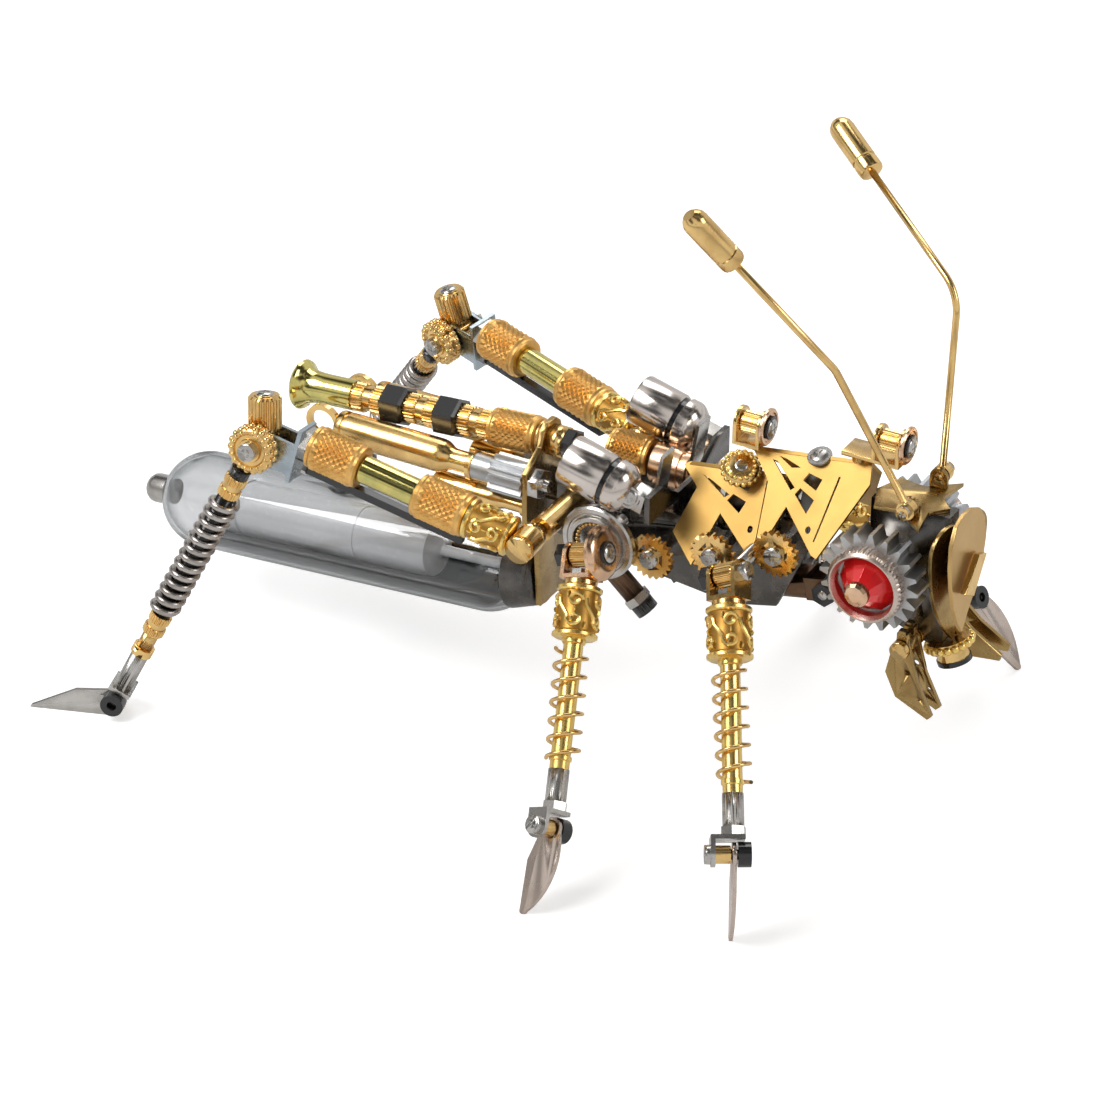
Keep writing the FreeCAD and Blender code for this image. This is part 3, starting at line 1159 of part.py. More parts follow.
def head():
    """Barrel, skull plate and everything that nods with them."""
    ear = "insert_radius"
    front = "(face_x - 4*seat_gap)"
    slope = "(mouth_x - %s)*tan(mouth_tilt)" % front
    skull = plate("skull_plate", [
        ("nod_x", "nod_z - " + ear, ear, -1), ("nod_x", "nod_z + " + ear),
        ("eye_x - barrel_radius + 1", "eye_z"), ("eye_x - barrel_radius + 1", "crown_z"),
        (front, "crown_z"), (front, "mouth_z - %s + seat_gap" % slope),
        ("mouth_x - 3.4", "mouth_z - 3.4*tan(mouth_tilt) + seat_gap"),
        ("jaw_x - 3.4", "jaw_z - 2"), ("eye_x - 5", "nod_z - 1")],
        SKULL_WIDTH, holes=[("nod_x", "nod_z", "pin_radius + running_fit"),
                            ("jaw_x", "jaw_z", "pin_radius + seat_gap/2")], role="XZ_Plane")
    barrel = round_bar("head_barrel", "barrel_radius", "2*core_half")
    put(barrel, x="eye_x", y="-core_half", z="eye_z", rotation=turn(X_AXIS, -90))
    stub = round_bar("eye_stub", "0.28*eye_gear_radius - seat_gap",
                     "2*(core_half + eye_gear_width)")
    put(stub, x="eye_x", y="-(core_half + eye_gear_width)", z="eye_z",
        rotation=turn(X_AXIS, -90))
    node("head_core", [joined("head_casting", [skull, barrel, stub])])
    outward = turn(X_AXIS, -90)
    wheel = gear("eye_gear", "eye_teeth", "eye_gear_radius", "eye_gear_depth",
                 "eye_gear_width", "0.28*eye_gear_radius")
    put(wheel, x="eye_x", y="core_half", z="eye_z", rotation=outward)
    node("eye_gears", [wheel, mirrored(wheel, "eye_gear_twin")])
    face = "core_half + eye_gear_width"
    bezel = ring("eye_bezel", "bezel_radius", "bezel_radius - bezel_wall", "bezel_width")
    put(bezel, x="eye_x", y=face, z="eye_z", rotation=outward)
    node("eye_bezels", [bezel, mirrored(bezel, "eye_bezel_twin")])
    cone = facet_cone("eye_cone", "cone_facets", "bezel_radius - bezel_wall - seat_gap",
                      "cone_tip", "cone_height")
    put(cone, x="eye_x", y=face, z="eye_z", rotation=outward)
    node("eye_cones", [cone, mirrored(cone, "eye_cone_twin")])
    boss = facet_bar("eye_boss", FLUTES, "cone_tip", "boss_length")
    put(boss, x="eye_x", y=face + " + cone_height", z="eye_z", rotation=outward)
    node("eye_bosses", [boss, mirrored(boss, "eye_boss_twin")])
    face_plates()
    crown()
    mouth()


def face_plates():
    """Two leaf plates set like a beak, held by an arm from the skull, and a square tab."""
    root = "leaf_length - leaf_width/2"
    leaf = plate("leaf", [
        (0, 0, "leaf_length*1.15", 1), ("leaf_width/2", root, "leaf_width/2", 1),
        ("-leaf_width/2", root, "leaf_length*1.15", 1)], "sheet_metal", role="YZ_Plane")
    pieces = []
    for name, side in SIDES:
        spin = turn(Z_AXIS, side * size("leaf_turn_" + name))
        roll = turn(X_AXIS, -side * size("leaf_roll"))
        foot = Vector(size("face_x + sheet_metal"), side * size("leaf_foot_y"),
                      size("face_low_z"))
        pieces.append(compound("leaf_" + name, [leaf], Placement(foot, spin.multiply(roll))))
    tab = primitive("Box", "brow_tab", Length="sheet_metal*1.3", Width="3.6*sheet_metal",
                    Height="leaf_length*0.38")
    put(tab, x="face_x + 1.4*sheet_metal", y="-sheet_metal/3", z="face_low_z + leaf_length/3",
        rotation=turn(Y_AXIS, 6).multiply(turn(X_AXIS, -10)))
    arm = primitive("Box", "brow_arm", Length="2.2*sheet_metal + 4*seat_gap",
                    Width="1.6*sheet_metal", Height="3*sheet_metal")
    put(arm, x="face_x - 4*seat_gap", y="-0.8*sheet_metal", z="face_low_z + leaf_length*0.4")
    node("face_plates", [joined("beak", pieces + [tab, arm])])


def crown():
    """Fan plate on the head, with a post and a pin for each antenna."""
    def spot(share_x, share_y):
        return ("eye_x + crown_length*%s" % share_x, "crown_width*%s" % share_y)

    fan = [spot(-0.45, 0.0), spot(-0.25, 0.3), spot(0.2, 0.26), spot(0.72, 0.5),
           spot(0.62, 0.16), spot(0.88, 0.0)]
    fan += [(x, "-(%s)" % y) for x, y in reversed(fan[1:-1])]
    top = plate("crown_fan", fan, "sheet_metal")
    put(top, z="crown_z + sheet_metal/2")
    inner = "antenna_y - eye_ring/2 - side_gap - sheet_metal/2"
    rise = "(crown_z + sheet_metal + antenna_rise)"
    post = plate("antenna_post", [
        ("antenna_x - eye_ring", "crown_z + sheet_metal"),
        ("antenna_x + eye_ring", "crown_z + sheet_metal"),
        ("antenna_x + eye_ring", rise, "eye_ring", 1), ("antenna_x - eye_ring", rise)],
        "sheet_metal", holes=[("antenna_x", rise, "pin_radius*0.8 + seat_gap/2")],
        role="XZ_Plane")
    put(post, y=inner)
    node("crown_plates", [top, post, mirrored(post, "antenna_post_twin")])
    screw = hinge_screw("antenna_screw", "eye_ring + 2*side_gap + sheet_metal",
                        "pin_radius*0.8", "antenna_screw_head")
    put(screw, x="antenna_x", y="antenna_y + eye_ring/2 + side_gap", z=rise,
        rotation=turn(X_AXIS, -90))
    jaw = "(jaw_y + jaw_spacing + 2*sheet_metal + 2*side_gap)"
    jaw_axle = round_bar("jaw_axle", "pin_radius", "2*" + jaw)
    put(jaw_axle, x="jaw_x", y="-" + jaw, z="jaw_z", rotation=turn(X_AXIS, -90))
    cap = round_bar("jaw_axle_cap", "head_radius", "head_height")
    put(cap, x="jaw_x", y=jaw, z="jaw_z", rotation=turn(X_AXIS, -90))
    knuckle = ring("jaw_knuckle", "head_radius + 0.3", "pin_radius + seat_gap/2",
                   "jaw_y - %s/2" % SKULL_WIDTH)
    put(knuckle, x="jaw_x", y=SKULL_WIDTH + "/2", z="jaw_z", rotation=turn(X_AXIS, -90))
    node("head_screws", [screw, mirrored(screw, "antenna_screw_twin"), jaw_axle, cap,
                         mirrored(cap, "jaw_axle_cap_twin"), knuckle,
                         mirrored(knuckle, "jaw_knuckle_twin")])


def mouth():
    """Beaded ring with a knurled tube and a black ring below it."""
    ring_piece = facet_bar("mouth_beads", 16, "mouth_radius", "mouth_height")
    knurl = facet_bar("mouth_knurl", 16, "mouth_radius - 1.2", "mouth_knurl")
    end = round_bar("mouth_black_ring", "mouth_radius - 1", "mouth_height/2")
    put(ring_piece, z="-mouth_height")
    put(knurl, z="-(mouth_height + mouth_knurl)")
    put(end, z="-(1.5*mouth_height + mouth_knurl)")
    node("mouth_ring", [ring_piece, knurl, end],
         Placement(Vector(size("mouth_x"), 0, size("mouth_z")), turn(Y_AXIS, -size("mouth_tilt"))))


def jaws():
    """Each jaw: two crescent blades with stepped knuckles, on one barrel round the jaw axle."""
    pieces = []
    barrel = facet_bar("jaw_barrel", FLUTES, "head_radius", "jaw_spacing")
    put(barrel, y="side_gap + sheet_metal", rotation=turn(X_AXIS, -90))
    for index in range(2):
        offset = "(side_gap + sheet_metal/2 + %d*(sheet_metal + jaw_spacing))" % index
        blade = plate("jaw_blade_%d" % index, [
            ("-head_radius", 0), ("-jaw_width*0.42", "-jaw_length*0.4"),
            ("-jaw_width*0.1", "-jaw_length*0.72"), ("jaw_width*0.84", "-jaw_length*0.92"),
            ("jaw_width*0.96", "-jaw_length*0.86"), ("jaw_width*0.5", "-jaw_length*0.42"),
            ("head_radius", 0, "head_radius", 1)], "sheet_metal", role="XZ_Plane")
        put(blade, y=offset)
        knuckle = primitive("Box", "jaw_knuckle_%d" % index, Length="jaw_knuckle",
                            Width="jaw_knuckle*0.8", Height="jaw_knuckle*0.8")
        inner = offset + (" - sheet_metal/2", " + sheet_metal/2 - jaw_knuckle*0.8")[index]
        put(knuckle, x="-jaw_knuckle/2", y=inner, z="head_radius*0.8")
        step = primitive("Box", "jaw_step_%d" % index, Length="jaw_knuckle*0.7",
                         Width="jaw_knuckle*0.6", Height="jaw_knuckle*0.3")
        low = offset + (" - sheet_metal/2", " + sheet_metal/2 - jaw_knuckle*0.6")[index]
        put(step, x="-jaw_knuckle*0.35", y=low, z="head_radius*0.8 + jaw_knuckle*0.8")
        pieces += [blade, knuckle, step]
    whole = joined("jaw_blank", pieces + [barrel])
    hole = round_bar("jaw_bore", "pin_radius + running_fit",
                     "jaw_spacing + 2*sheet_metal + 2*side_gap")
    put(hole, rotation=turn(X_AXIS, -90))
    jaw = cut("jaw_body", whole, hole)
    seat = Vector(size("jaw_x"), size("jaw_y"), size("jaw_z"))
    for name, side in SIDES:
        swing = turn(Y_AXIS, -size("jaw_swing_" + name))
        side_node("jaw_%s", name, [jaw], Placement(seat, swing))
    PIVOTS["jaw"] = (seat, Y_AXIS)


def lean_direction(lean, splay, side):
    back = math.tan(math.radians(size(lean)))
    out = math.tan(math.radians(size(splay)))
    return Vector(-back, side * out, 1).normalize()


def antenna(name, side):
    """An eye on its pin, a wire with one bend, and a bullet-shaped cap."""
    pin = Vector(size("antenna_x"), side * size("antenna_y"),
                 size("crown_z + sheet_metal + antenna_rise"))
    first = lean_direction(name + "_lean", name + "_splay", side)
    second = lean_direction(name + "_upper_lean", name + "_upper_splay", side)
    half_turn = first.getAngle(second) / 2
    trim = size("wire_bend") * math.tan(half_turn)
    inboard = Y_AXIS * (-side * size("eye_ring*0.2"))
    start = pin + inboard + first * size("eye_ring*0.8")
    corner = pin + inboard + first * size("wire_lower")
    enter, leave = corner - first * trim, corner + second * trim
    inward = (second - first).normalize()
    centre_gap = size("wire_bend") / math.cos(half_turn)
    middle = corner + inward * (centre_gap - size("wire_bend"))
    end = corner + second * size("wire_upper")
    path = Part.Wire([Part.LineSegment(start, enter).toShape(),
                      Part.Arc(enter, middle, leave).toShape(),
                      Part.LineSegment(leave, end).toShape()])
    across = first.cross(X_AXIS).normalize()
    corners = [start + turn(first, 45 * step).multVec(across) * size("wire_radius")
               for step in range(9)]
    section = Part.makePolygon(corners)
    wire = doc.addObject("Part::Feature", name + "_antenna_wire")
    wire.Shape = path.makePipeShell([section], True, False)
    eye = ring(name + "_antenna_eye", "eye_ring", "pin_radius*0.8 + running_fit", "eye_ring")
    eye.Placement = Placement(pin - Y_AXIS * size("eye_ring/2"), turn(X_AXIS, -90))
    stem = joined(name + "_antenna_stem", [wire, eye])
    cap = turned(name + "_antenna_cap", [
        (0, 0), ("tip_radius", 0), ("tip_radius", "-(tip_length - tip_edge)"),
        ("tip_radius - tip_edge", "-tip_length"), (0, "-tip_length")])
    tip = compound(name + "_antenna_tip", [cap], aim(end, second))
    node("antenna_" + name, [stem, tip])
    PIVOTS["antenna_" + name] = (pin, Y_AXIS)


# ---------------------------------------------------------------- middle and front legs
def ground():
    slab = doc.addObject("Part::Box", "ground_slab")
    slab.setExpression("Length", bound("4*bulb_length"))
    slab.setExpression("Width", bound("4*bulb_length"))
    slab.setExpression("Height", bound("bulb_radius"))
    return put(slab, x="-2*bulb_length", y="-2*bulb_length", z="-bulb_radius")


def claw_plate(label, reach, hump):
    """A talon in the plane across its pin, with a round root and a blunt tip."""
    root = "claw_root"
    point = "(%s - claw_tip)" % reach
    return plate(label, [
        ("-" + root, 0), ("-(%s + 1)" % root, "-%s*0.42" % reach),
        ("-claw_tip", "-" + point, "claw_tip", 1), ("claw_tip", "-" + point, hump, 1),
        (root, 0, root, 1)],
        "claw_sheet", holes=[(0, 0, "pin_radius + running_fit")], role="YZ_Plane")


ANKLE_DROP = "(claw_root + side_gap + sheet_metal)"
EAR_X = "(claw_sheet/2 + side_gap + spacer_length)"


def ankle(label, below):
    """Bracket, spacer, screw and cap nut that carry a claw; the pin lies along local X."""
    top = "(%s - %s)" % (below, ANKLE_DROP)
    flange = primitive("Box", label + "_flange", Length=EAR_X + " + sheet_metal + ferrule_radius",
                       Width="2*ankle_ear", Height="sheet_metal")
    put(flange, x="-(%s + sheet_metal)" % EAR_X, y="-ankle_ear",
        z="-(%s + sheet_metal)" % top)
    ear = plate(label + "_ear", [
        ("-ankle_ear", "-" + top), ("-ankle_ear", "-(%s)" % below, "ankle_ear", 1),
        ("ankle_ear", "-(%s)" % below), ("ankle_ear", "-" + top)], "sheet_metal",
        holes=[(0, "-(%s)" % below, "pin_radius + seat_gap/2")], role="YZ_Plane")
    put(ear, x="-(%s + sheet_metal/2)" % EAR_X)
    bracket = joined(label + "_bracket", [flange, ear])
    spacer = ring(label + "_spacer", "spacer_radius", "pin_radius + seat_gap/2",
                  "spacer_length")
    put(spacer, x="-" + EAR_X, z="-(%s)" % below, rotation=turn(Y_AXIS, 90))
    screw = hinge_screw(label + "_screw", EAR_X + " + sheet_metal + claw_sheet/2 + side_gap"
                        " + toe_nut_length/2")
    put(screw, x="-(%s + sheet_metal)" % EAR_X, z="-(%s)" % below, rotation=turn(Y_AXIS, -90))
    nut = ring(label + "_cap_nut", "toe_nut_radius", "pin_radius + seat_gap/2",
               "toe_nut_length")
    put(nut, x="claw_sheet/2 + side_gap", z="-(%s)" % below, rotation=turn(Y_AXIS, 90))
    return [bracket, spacer, screw, nut]


def leg(name):
    """Yoke, carved bead, sprung rod, ferrule and ankle of one pair of legs, and their claws."""
    place, axis = leg_frame(name)
    inner = "(roller_length/2 + side_gap)"
    base = primitive("Box", name + "_yoke_base", Length="2*(%s + sheet_metal)" % inner,
                     Width="2*ear_radius", Height="sheet_metal")
    put(base, x="-(%s + sheet_metal)" % inner, y="-ear_radius", z="-yoke_drop")
    ears = []
    for side_name, side in SIDES:
        ear = plate("%s_yoke_ear_%s" % (name, side_name), [
            ("-ear_radius", "-yoke_drop"), ("ear_radius", "-yoke_drop"),
            ("ear_radius", 0, "ear_radius", 1), ("-ear_radius", 0)], "sheet_metal",
            holes=[(0, 0, "pin_radius + running_fit")], role="YZ_Plane")
        put(ear, x="%d*(%s + sheet_metal/2)" % (side, inner))
        ears.append(ear)
    yoke = joined(name + "_yoke", [base] + ears)
    yoke_nut = facet_bar(name + "_yoke_nut", HEXAGON, "nut_radius - 0.4", "yoke_nut",
                         "yoke_drop - sheet_metal - yoke_nut")
    rod_start = "yoke_drop + bead_length + step_height"
    rod_length = "(leg_length - %s - nut_height - ferrule_length - (%s))" % (ANKLE_DROP,
                                                                            rod_start)
    upper = "-(step_height + flange_height)"
    lower = "-(step_height + bead_length - flange_height)"
    foot = "-(step_height + bead_length)"
    bead = turned(name + "_bead", [
        (0, 0), ("step_radius", 0), ("step_radius", "-step_height"),
        ("bead_flange", "-step_height"), ("bead_flange", upper), ("bead_radius", upper),
        ("bead_radius", lower), ("bead_flange", lower), ("bead_flange", foot),
        ("rod_radius", foot), ("rod_radius", "%s - %s" % (foot, rod_length)),
        (0, "%s - %s" % (foot, rod_length))])
    hang(bead, "yoke_drop")
    spring = coil(name + "_spring", "spring_radius", "spring_wire", "spring_coils",
                  rod_length + " - 2*spring_margin", rod_start + " + spring_margin")
    ferrule = round_bar(name + "_ferrule", "ferrule_radius", "ferrule_length",
                        rod_start + " + " + rod_length)
    nut = facet_bar(name + "_ankle_nut", HEXAGON, "nut_radius", "nut_height",
                    "leg_length - %s - nut_height" % ANKLE_DROP)
    twin_nodes(name + "_%s_post", [bead, spring], place)
    down = place.Rotation.multVec(DOWN)
    ankle_pin = place.multVec(DOWN * size("leg_length"))
    for side_name, side in SIDES:
        own = "%s_%s" % (name, side_name)
        claw = claw_frame(ankle_pin, own + "_reach", own + "_heading")
        toe_axis = down.cross(claw).normalize()
        if toe_axis.dot(axis) < 0:
            toe_axis = toe_axis * -1.0
        seat = frame_on(place.Base, toe_axis, down)
        bracket = compound(own + "_ankle_group", ankle(own + "_ankle", "leg_length"), seat)
        upper = compound(own + "_yoke_group", [yoke, yoke_nut, ferrule, nut], place)
        side_node(name + "_%s_yoke", side_name, [upper, bracket])
        talon = claw_plate(own + "_talon", own + "_reach", own + "_reach*0.8")
        standing = compound(own + "_talon_placed", [talon], frame_on(ankle_pin, toe_axis, claw))
        side_node(name + "_%s_claw", side_name, [cut(own + "_talon_ground", standing, ground())])
        PIVOTS[own + "_ankle"] = (ankle_pin, toe_axis)


# ---------------------------------------------------------------- hind legs
KNOB_X = "(knee_gap/2 + sheet_metal + side_gap + knob_width/2)"
PIN_STEPS = 40


def hind_frames(name, side):
    """Placements of a thigh, its knee bracket, shin, ankle and claw.

    The knee pin stands square to thigh and shin, so both are found together in steps.
    """
    hip, hinge, back = hind_hip(name, side)
    heading = math.radians(size("shin_heading_" + name))
    pin = Y_AXIS * -1.0
    for step in range(PIN_STEPS):
        knee = hip + back * size("thigh_length") + pin.cross(back) * size("knee_offset")
        fall = knee.z + pin.z * size(KNOB_X) - size("ankle_height")
        fall /= size("shin_length")
        level = math.sqrt(1 - fall * fall)
        down = Vector(-math.cos(heading) * level, math.sin(heading) * level, -fall)
        pin = back.cross(down).normalize()
        if pin.y > 0:
            pin = pin * -1.0
    shin = frame_on(knee, pin, down)
    foot = shin.multVec(Vector(size(KNOB_X), 0, -size("shin_length")))
    level = shin.Rotation.multiply(turn(Z_AXIS, -side * size("hind_toe_" + name)))
    toe_axis = level.multVec(X_AXIS)
    return (frame_on(hip, hinge, back), frame_on(hip, pin, back), shin,
            Placement(foot, level), toe_axis)


def hind_claw(foot, toe_axis):
    """Placement of a hind claw: it falls from its pin to the ground, pointing back."""
    fall = (foot.z + size("tip_grind")) / size("hind_reach")
    flat = Vector(toe_axis.y, -toe_axis.x, 0).normalize()
    if flat.x > 0:
        flat = flat * -1.0
    steep = toe_axis.cross(flat).normalize()
    if steep.z > 0:
        steep = steep * -1.0
    share = fall / -steep.z
    claw = flat * math.sqrt(1 - share * share) + steep * share
    return frame_on(foot, toe_axis, claw)


def thigh_pieces(web_at):
    eye = ring("thigh_eye", "thigh_eye", "axle_radius + running_fit", "thigh_eye_width")
    put(eye, x="-thigh_eye_width/2", rotation=turn(Y_AXIS, 90))
    bead_length = ("(%s - nut_height - 2*thigh_sleeve_length - thigh_tube_length - thigh_eye)"
                   % web_at)
    bead = round_bar("thigh_bead", "thigh_bead", bead_length, "thigh_eye")
    at = "thigh_eye + " + bead_length
    front_sleeve = round_bar("thigh_sleeve_front", "thigh_sleeve", "thigh_sleeve_length", at)
    at += " + thigh_sleeve_length"
    tube = round_bar("thigh_tube", "thigh_tube", "thigh_tube_length", at)
    rear_sleeve = round_bar("thigh_sleeve_rear", "thigh_sleeve", "thigh_sleeve_length",
                            at + " + thigh_tube_length")
    return [eye, bead, front_sleeve, tube, rear_sleeve]


def knee_bracket(web_at):
    """Nut, U bracket with its pin hole off the thigh's axis, knee screw and its nut."""
    nut = facet_bar("thigh_nut", HEXAGON, "nut_radius + 1", "nut_height",
                    web_at + " - nut_height")
    web = primitive("Box", "knee_web", Length="knee_gap + 2*sheet_metal",
                    Width="2*knee_ear + knee_offset + rod_nut", Height="sheet_metal")
    put(web, x="-(knee_gap/2 + sheet_metal)", y="-knee_ear", z="-(%s + sheet_metal)" % web_at)
    ears = []
    for name, side in SIDES:
        ear = plate("knee_ear_" + name, [
            ("knee_offset - knee_ear", "-" + web_at),
            ("knee_offset - knee_ear", "-thigh_length", "knee_ear", 1),
            ("knee_offset + knee_ear", "-thigh_length"),
            ("knee_offset + knee_ear", "-" + web_at)], "sheet_metal",
            holes=[("knee_offset", "-thigh_length", "pin_radius + seat_gap/2")],
            role="YZ_Plane")
        put(ear, x="%d*(knee_gap + sheet_metal)/2" % side)
        ears.append(ear)
    bracket = joined("knee_bracket", [web] + ears)
    head_x = "(knee_gap/2 + sheet_metal + 2*side_gap + knob_width)"
    screw = hinge_screw("knee_screw", head_x + " + knee_gap/2 + sheet_metal + nut_height")
    put(screw, x=head_x, y="knee_offset", z="-thigh_length", rotation=turn(Y_AXIS, 90))
    knee_nut = hex_nut("knee_nut", "pin_radius + seat_gap/2")
    put(knee_nut, x="-(knee_gap/2 + sheet_metal + nut_height)", y="knee_offset",
        z="-thigh_length", rotation=turn(Y_AXIS, 90))
    return [nut, bracket, screw, knee_nut]


def under_rod(web_at):
    """The thin dark rod under the thigh, with the small nut that ties it to the web."""
    below = "-(thigh_sleeve + seat_gap + under_rod)"
    nut = facet_bar("under_nut", HEXAGON, "rod_nut", "nut_height", web_at + " - nut_height")
    put(nut, y=below)
    rod = primitive("Box", "under_bar", Length="2*under_rod", Width="2*under_rod",
                    Height="2*thigh_sleeve_length + thigh_tube_length")
    put(rod, x="-under_rod", y=below + " - under_rod", z="-(%s - nut_height)" % web_at)
    return [nut, rod]


def knee_cap():
    """Fluted roller on the knee pin, and a fluted cap that stands on it."""
    roller = facet_bar("knee_roller", FLUTES, "insert_radius", "knee_gap")
    put(roller, x="-knee_gap/2", rotation=turn(Y_AXIS, 90))
    bore = round_bar("knee_roller_bore", "pin_radius + seat_gap/2", "knee_gap")
    put(bore, x="-knee_gap/2", rotation=turn(Y_AXIS, 90))
    bored = cut("knee_roller_bored", roller, bore)
    post = round_bar("knee_cap_post", "insert_radius*0.7",
                     "knee_cap_rise - insert_radius - seat_gap")
    put(post, z="insert_radius + seat_gap")
    cap = facet_bar("knee_cap", FLUTES, "knee_cap_radius", "knee_cap_length")
    put(cap, z="knee_cap_rise")
    stand = turn(X_AXIS, 90 + size("knee_cap_tilt"))
    whole = compound("knee_cap_stand", [joined("knee_cap_whole", [post, cap])],
                     Placement(Vector(), stand))
    seat = Vector(0, size("knee_offset"), -size("thigh_length"))
    return [compound("knee_cap_group", [bored, whole], Placement(seat, Rotation()))]


def shin_pieces():
    """Brass and steel of a shin, from the knee ring down to the silver tube."""
    knob = facet_bar("knee_knob", 16, "knob_radius", "knob_width")
    knob_hole = round_bar("knee_knob_hole", "pin_radius + running_fit", "knob_width")
    ring_piece = cut("knee_ring", knob, knob_hole)
    put(ring_piece, x=KNOB_X + " - knob_width/2", rotation=turn(Y_AXIS, 90))
    at = "knob_radius"
    collar = facet_bar("shin_collar", 16, "shin_insert_radius - 0.2", "collar_length", at)
    at += " + collar_length"
    first = insert("shin_insert_top", at, "shin_insert_radius")
    step = "2*insert_band + insert_groove"
    at += " + " + step
    rod = round_bar("shin_rod", "shin_rod", "shin_spring_length", at)
    spring = coil("shin_spring", "shin_spring_radius", "shin_wire", "shin_coils",
                  "shin_spring_length - 2*seat_gap", at + " + seat_gap")
    at += " + shin_spring_length"
    second = insert("shin_insert_low", at, "shin_insert_radius")
    at += " + " + step
    neck_piece = round_bar("shin_neck", "shin_neck", "shin_neck_length", at)
    at += " + shin_neck_length"
    band = facet_bar("shin_band", FLUTES, "shin_insert_radius", "insert_band", at)
    at += " + insert_band"
    tube_length = "(shin_length - %s - (%s))" % (ANKLE_DROP, at)
    silver = round_bar("ankle_tube", "ankle_tube", tube_length, at)
    brass = compound("shin_brass", [collar, first, second, neck_piece, band])
    put(brass, x=KNOB_X)
    steel = compound("shin_steel", [rod, spring, silver])
    put(steel, x=KNOB_X)
    return [ring_piece, brass], [steel]


def hind_legs():
    """Both hind legs: the same pieces, with the knee ring on the right-hand face of each."""
    web_at = "(thigh_length - knee_reach)"
    thigh_set = thigh_pieces(web_at)
    bracket_set = knee_bracket(web_at)
    rod_set = under_rod(web_at)
    cap_set = knee_cap()
    brass_set, steel_set = shin_pieces()
    talon = claw_plate("hind_talon", "hind_reach", "hind_reach*0.75")
    for name, side in SIDES:
        thigh, bracket, shin, foot, toe_axis = hind_frames(name, side)
        node("hind_%s_thigh" % name, thigh_set, thigh)
        steel = compound("knee_steel_" + name, bracket_set, bracket)
        dark = compound("under_rod_" + name, rod_set, thigh)
        node("hind_%s_bracket" % name, [steel, dark])
        node("hind_%s_knee_cap" % name, cap_set, bracket)
        node("hind_%s_shin" % name, brass_set, shin)
        lifted = Placement(foot.multVec(Z_AXIS * size("shin_length")), foot.Rotation)
        low = compound("shin_steel_" + name, steel_set, shin)
        joint = compound("hind_ankle_" + name, ankle("hind_ankle_%s" % name, "shin_length"),
                         lifted)
        node("hind_%s_spring" % name, [low, joint])
        standing = compound("hind_talon_" + name, [talon], hind_claw(foot.Base, toe_axis))
        node("hind_%s_claw" % name, [cut("hind_talon_ground_" + name, standing, ground())])
        PIVOTS["hind_%s_knee" % name] = (shin.Base, shin.Rotation.multVec(X_AXIS))
        PIVOTS["hind_%s_ankle" % name] = (foot.Base, toe_axis)


# ---------------------------------------------------------------- build
abdomen()
side_plates(shells())
rear_bulkhead()
pipe_row()
bullet_rows()
motors()
belly_rods()
hips()
side_gears()
eyelets()
neck()
head()
jaws()
for side_name, side_sign in SIDES:
    antenna(side_name, side_sign)
leg("mid")
leg("front")
hind_legs()


# ---------------------------------------------------------------- origin, checks and files
def finish():
    """Centre the insect over the origin, check every object and write the files."""
    doc.recompute()
    box = FreeCAD.BoundBox()
    for item in NODES:
        box.add(item.Shape.optimalBoundingBox(False, False))
    shift = Vector(-box.Center.x, -box.Center.y, 0)
    for item in NODES:
        item.Placement = Placement(shift, Rotation()).multiply(item.Placement)
    doc.recompute()
    for item in doc.Objects:
        if "Invalid" in item.State or "Error" in item.State:
            raise RuntimeError("%s is not sound: %s" % (item.Label, item.State))
    os.makedirs("parts", exist_ok=True)
    for item in NODES:
        if item.Shape.isNull() or not item.Shape.isValid():
            raise RuntimeError("%s has no sound shape" % item.Label)
        item.Shape.exportStep("parts/%s.step" % item.Label)
    print("%d nodes, %d solids" % (len(NODES), sum(len(item.Shape.Solids) for item in NODES)))
    return shift


SHIFT = finish()
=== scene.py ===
# %% [markdown]
# # A mechanical insect in brass, steel and smoky glass
# This lesson dresses the solids of a small metal kit: a walker with a glass bulb
# for its tail, gears along its sides, six jointed legs and two bent antennae. The
# solids come from a CAD model and set every place and size. Blender adds the
# finishes, the knurls, beads, springs and screws, and the studio.

import json
import math
from collections import namedtuple

import bmesh
import bpy
import numpy as np
from mathutils import Matrix, Vector


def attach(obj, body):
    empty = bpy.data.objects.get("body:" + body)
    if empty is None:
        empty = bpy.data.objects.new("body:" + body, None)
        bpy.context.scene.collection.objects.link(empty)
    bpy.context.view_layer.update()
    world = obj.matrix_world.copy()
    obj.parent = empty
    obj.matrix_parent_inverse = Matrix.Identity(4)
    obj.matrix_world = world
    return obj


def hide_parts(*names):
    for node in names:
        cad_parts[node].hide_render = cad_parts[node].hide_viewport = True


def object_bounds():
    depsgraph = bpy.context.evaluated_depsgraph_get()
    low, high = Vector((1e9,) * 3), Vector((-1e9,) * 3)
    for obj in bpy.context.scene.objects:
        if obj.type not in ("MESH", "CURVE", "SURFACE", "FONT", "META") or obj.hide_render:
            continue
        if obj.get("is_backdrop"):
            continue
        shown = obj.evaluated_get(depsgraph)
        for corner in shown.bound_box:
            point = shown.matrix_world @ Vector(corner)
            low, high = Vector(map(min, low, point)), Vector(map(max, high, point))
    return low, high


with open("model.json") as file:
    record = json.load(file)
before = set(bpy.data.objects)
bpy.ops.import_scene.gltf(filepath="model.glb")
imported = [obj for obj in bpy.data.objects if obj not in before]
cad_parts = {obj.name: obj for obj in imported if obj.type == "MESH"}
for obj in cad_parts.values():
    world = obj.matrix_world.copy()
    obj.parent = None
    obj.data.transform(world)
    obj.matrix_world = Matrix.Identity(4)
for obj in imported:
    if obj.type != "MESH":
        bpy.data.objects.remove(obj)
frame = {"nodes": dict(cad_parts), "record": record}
CAD_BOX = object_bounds()
MM = 0.001
print("nodes in the frame:", len(frame["nodes"]))
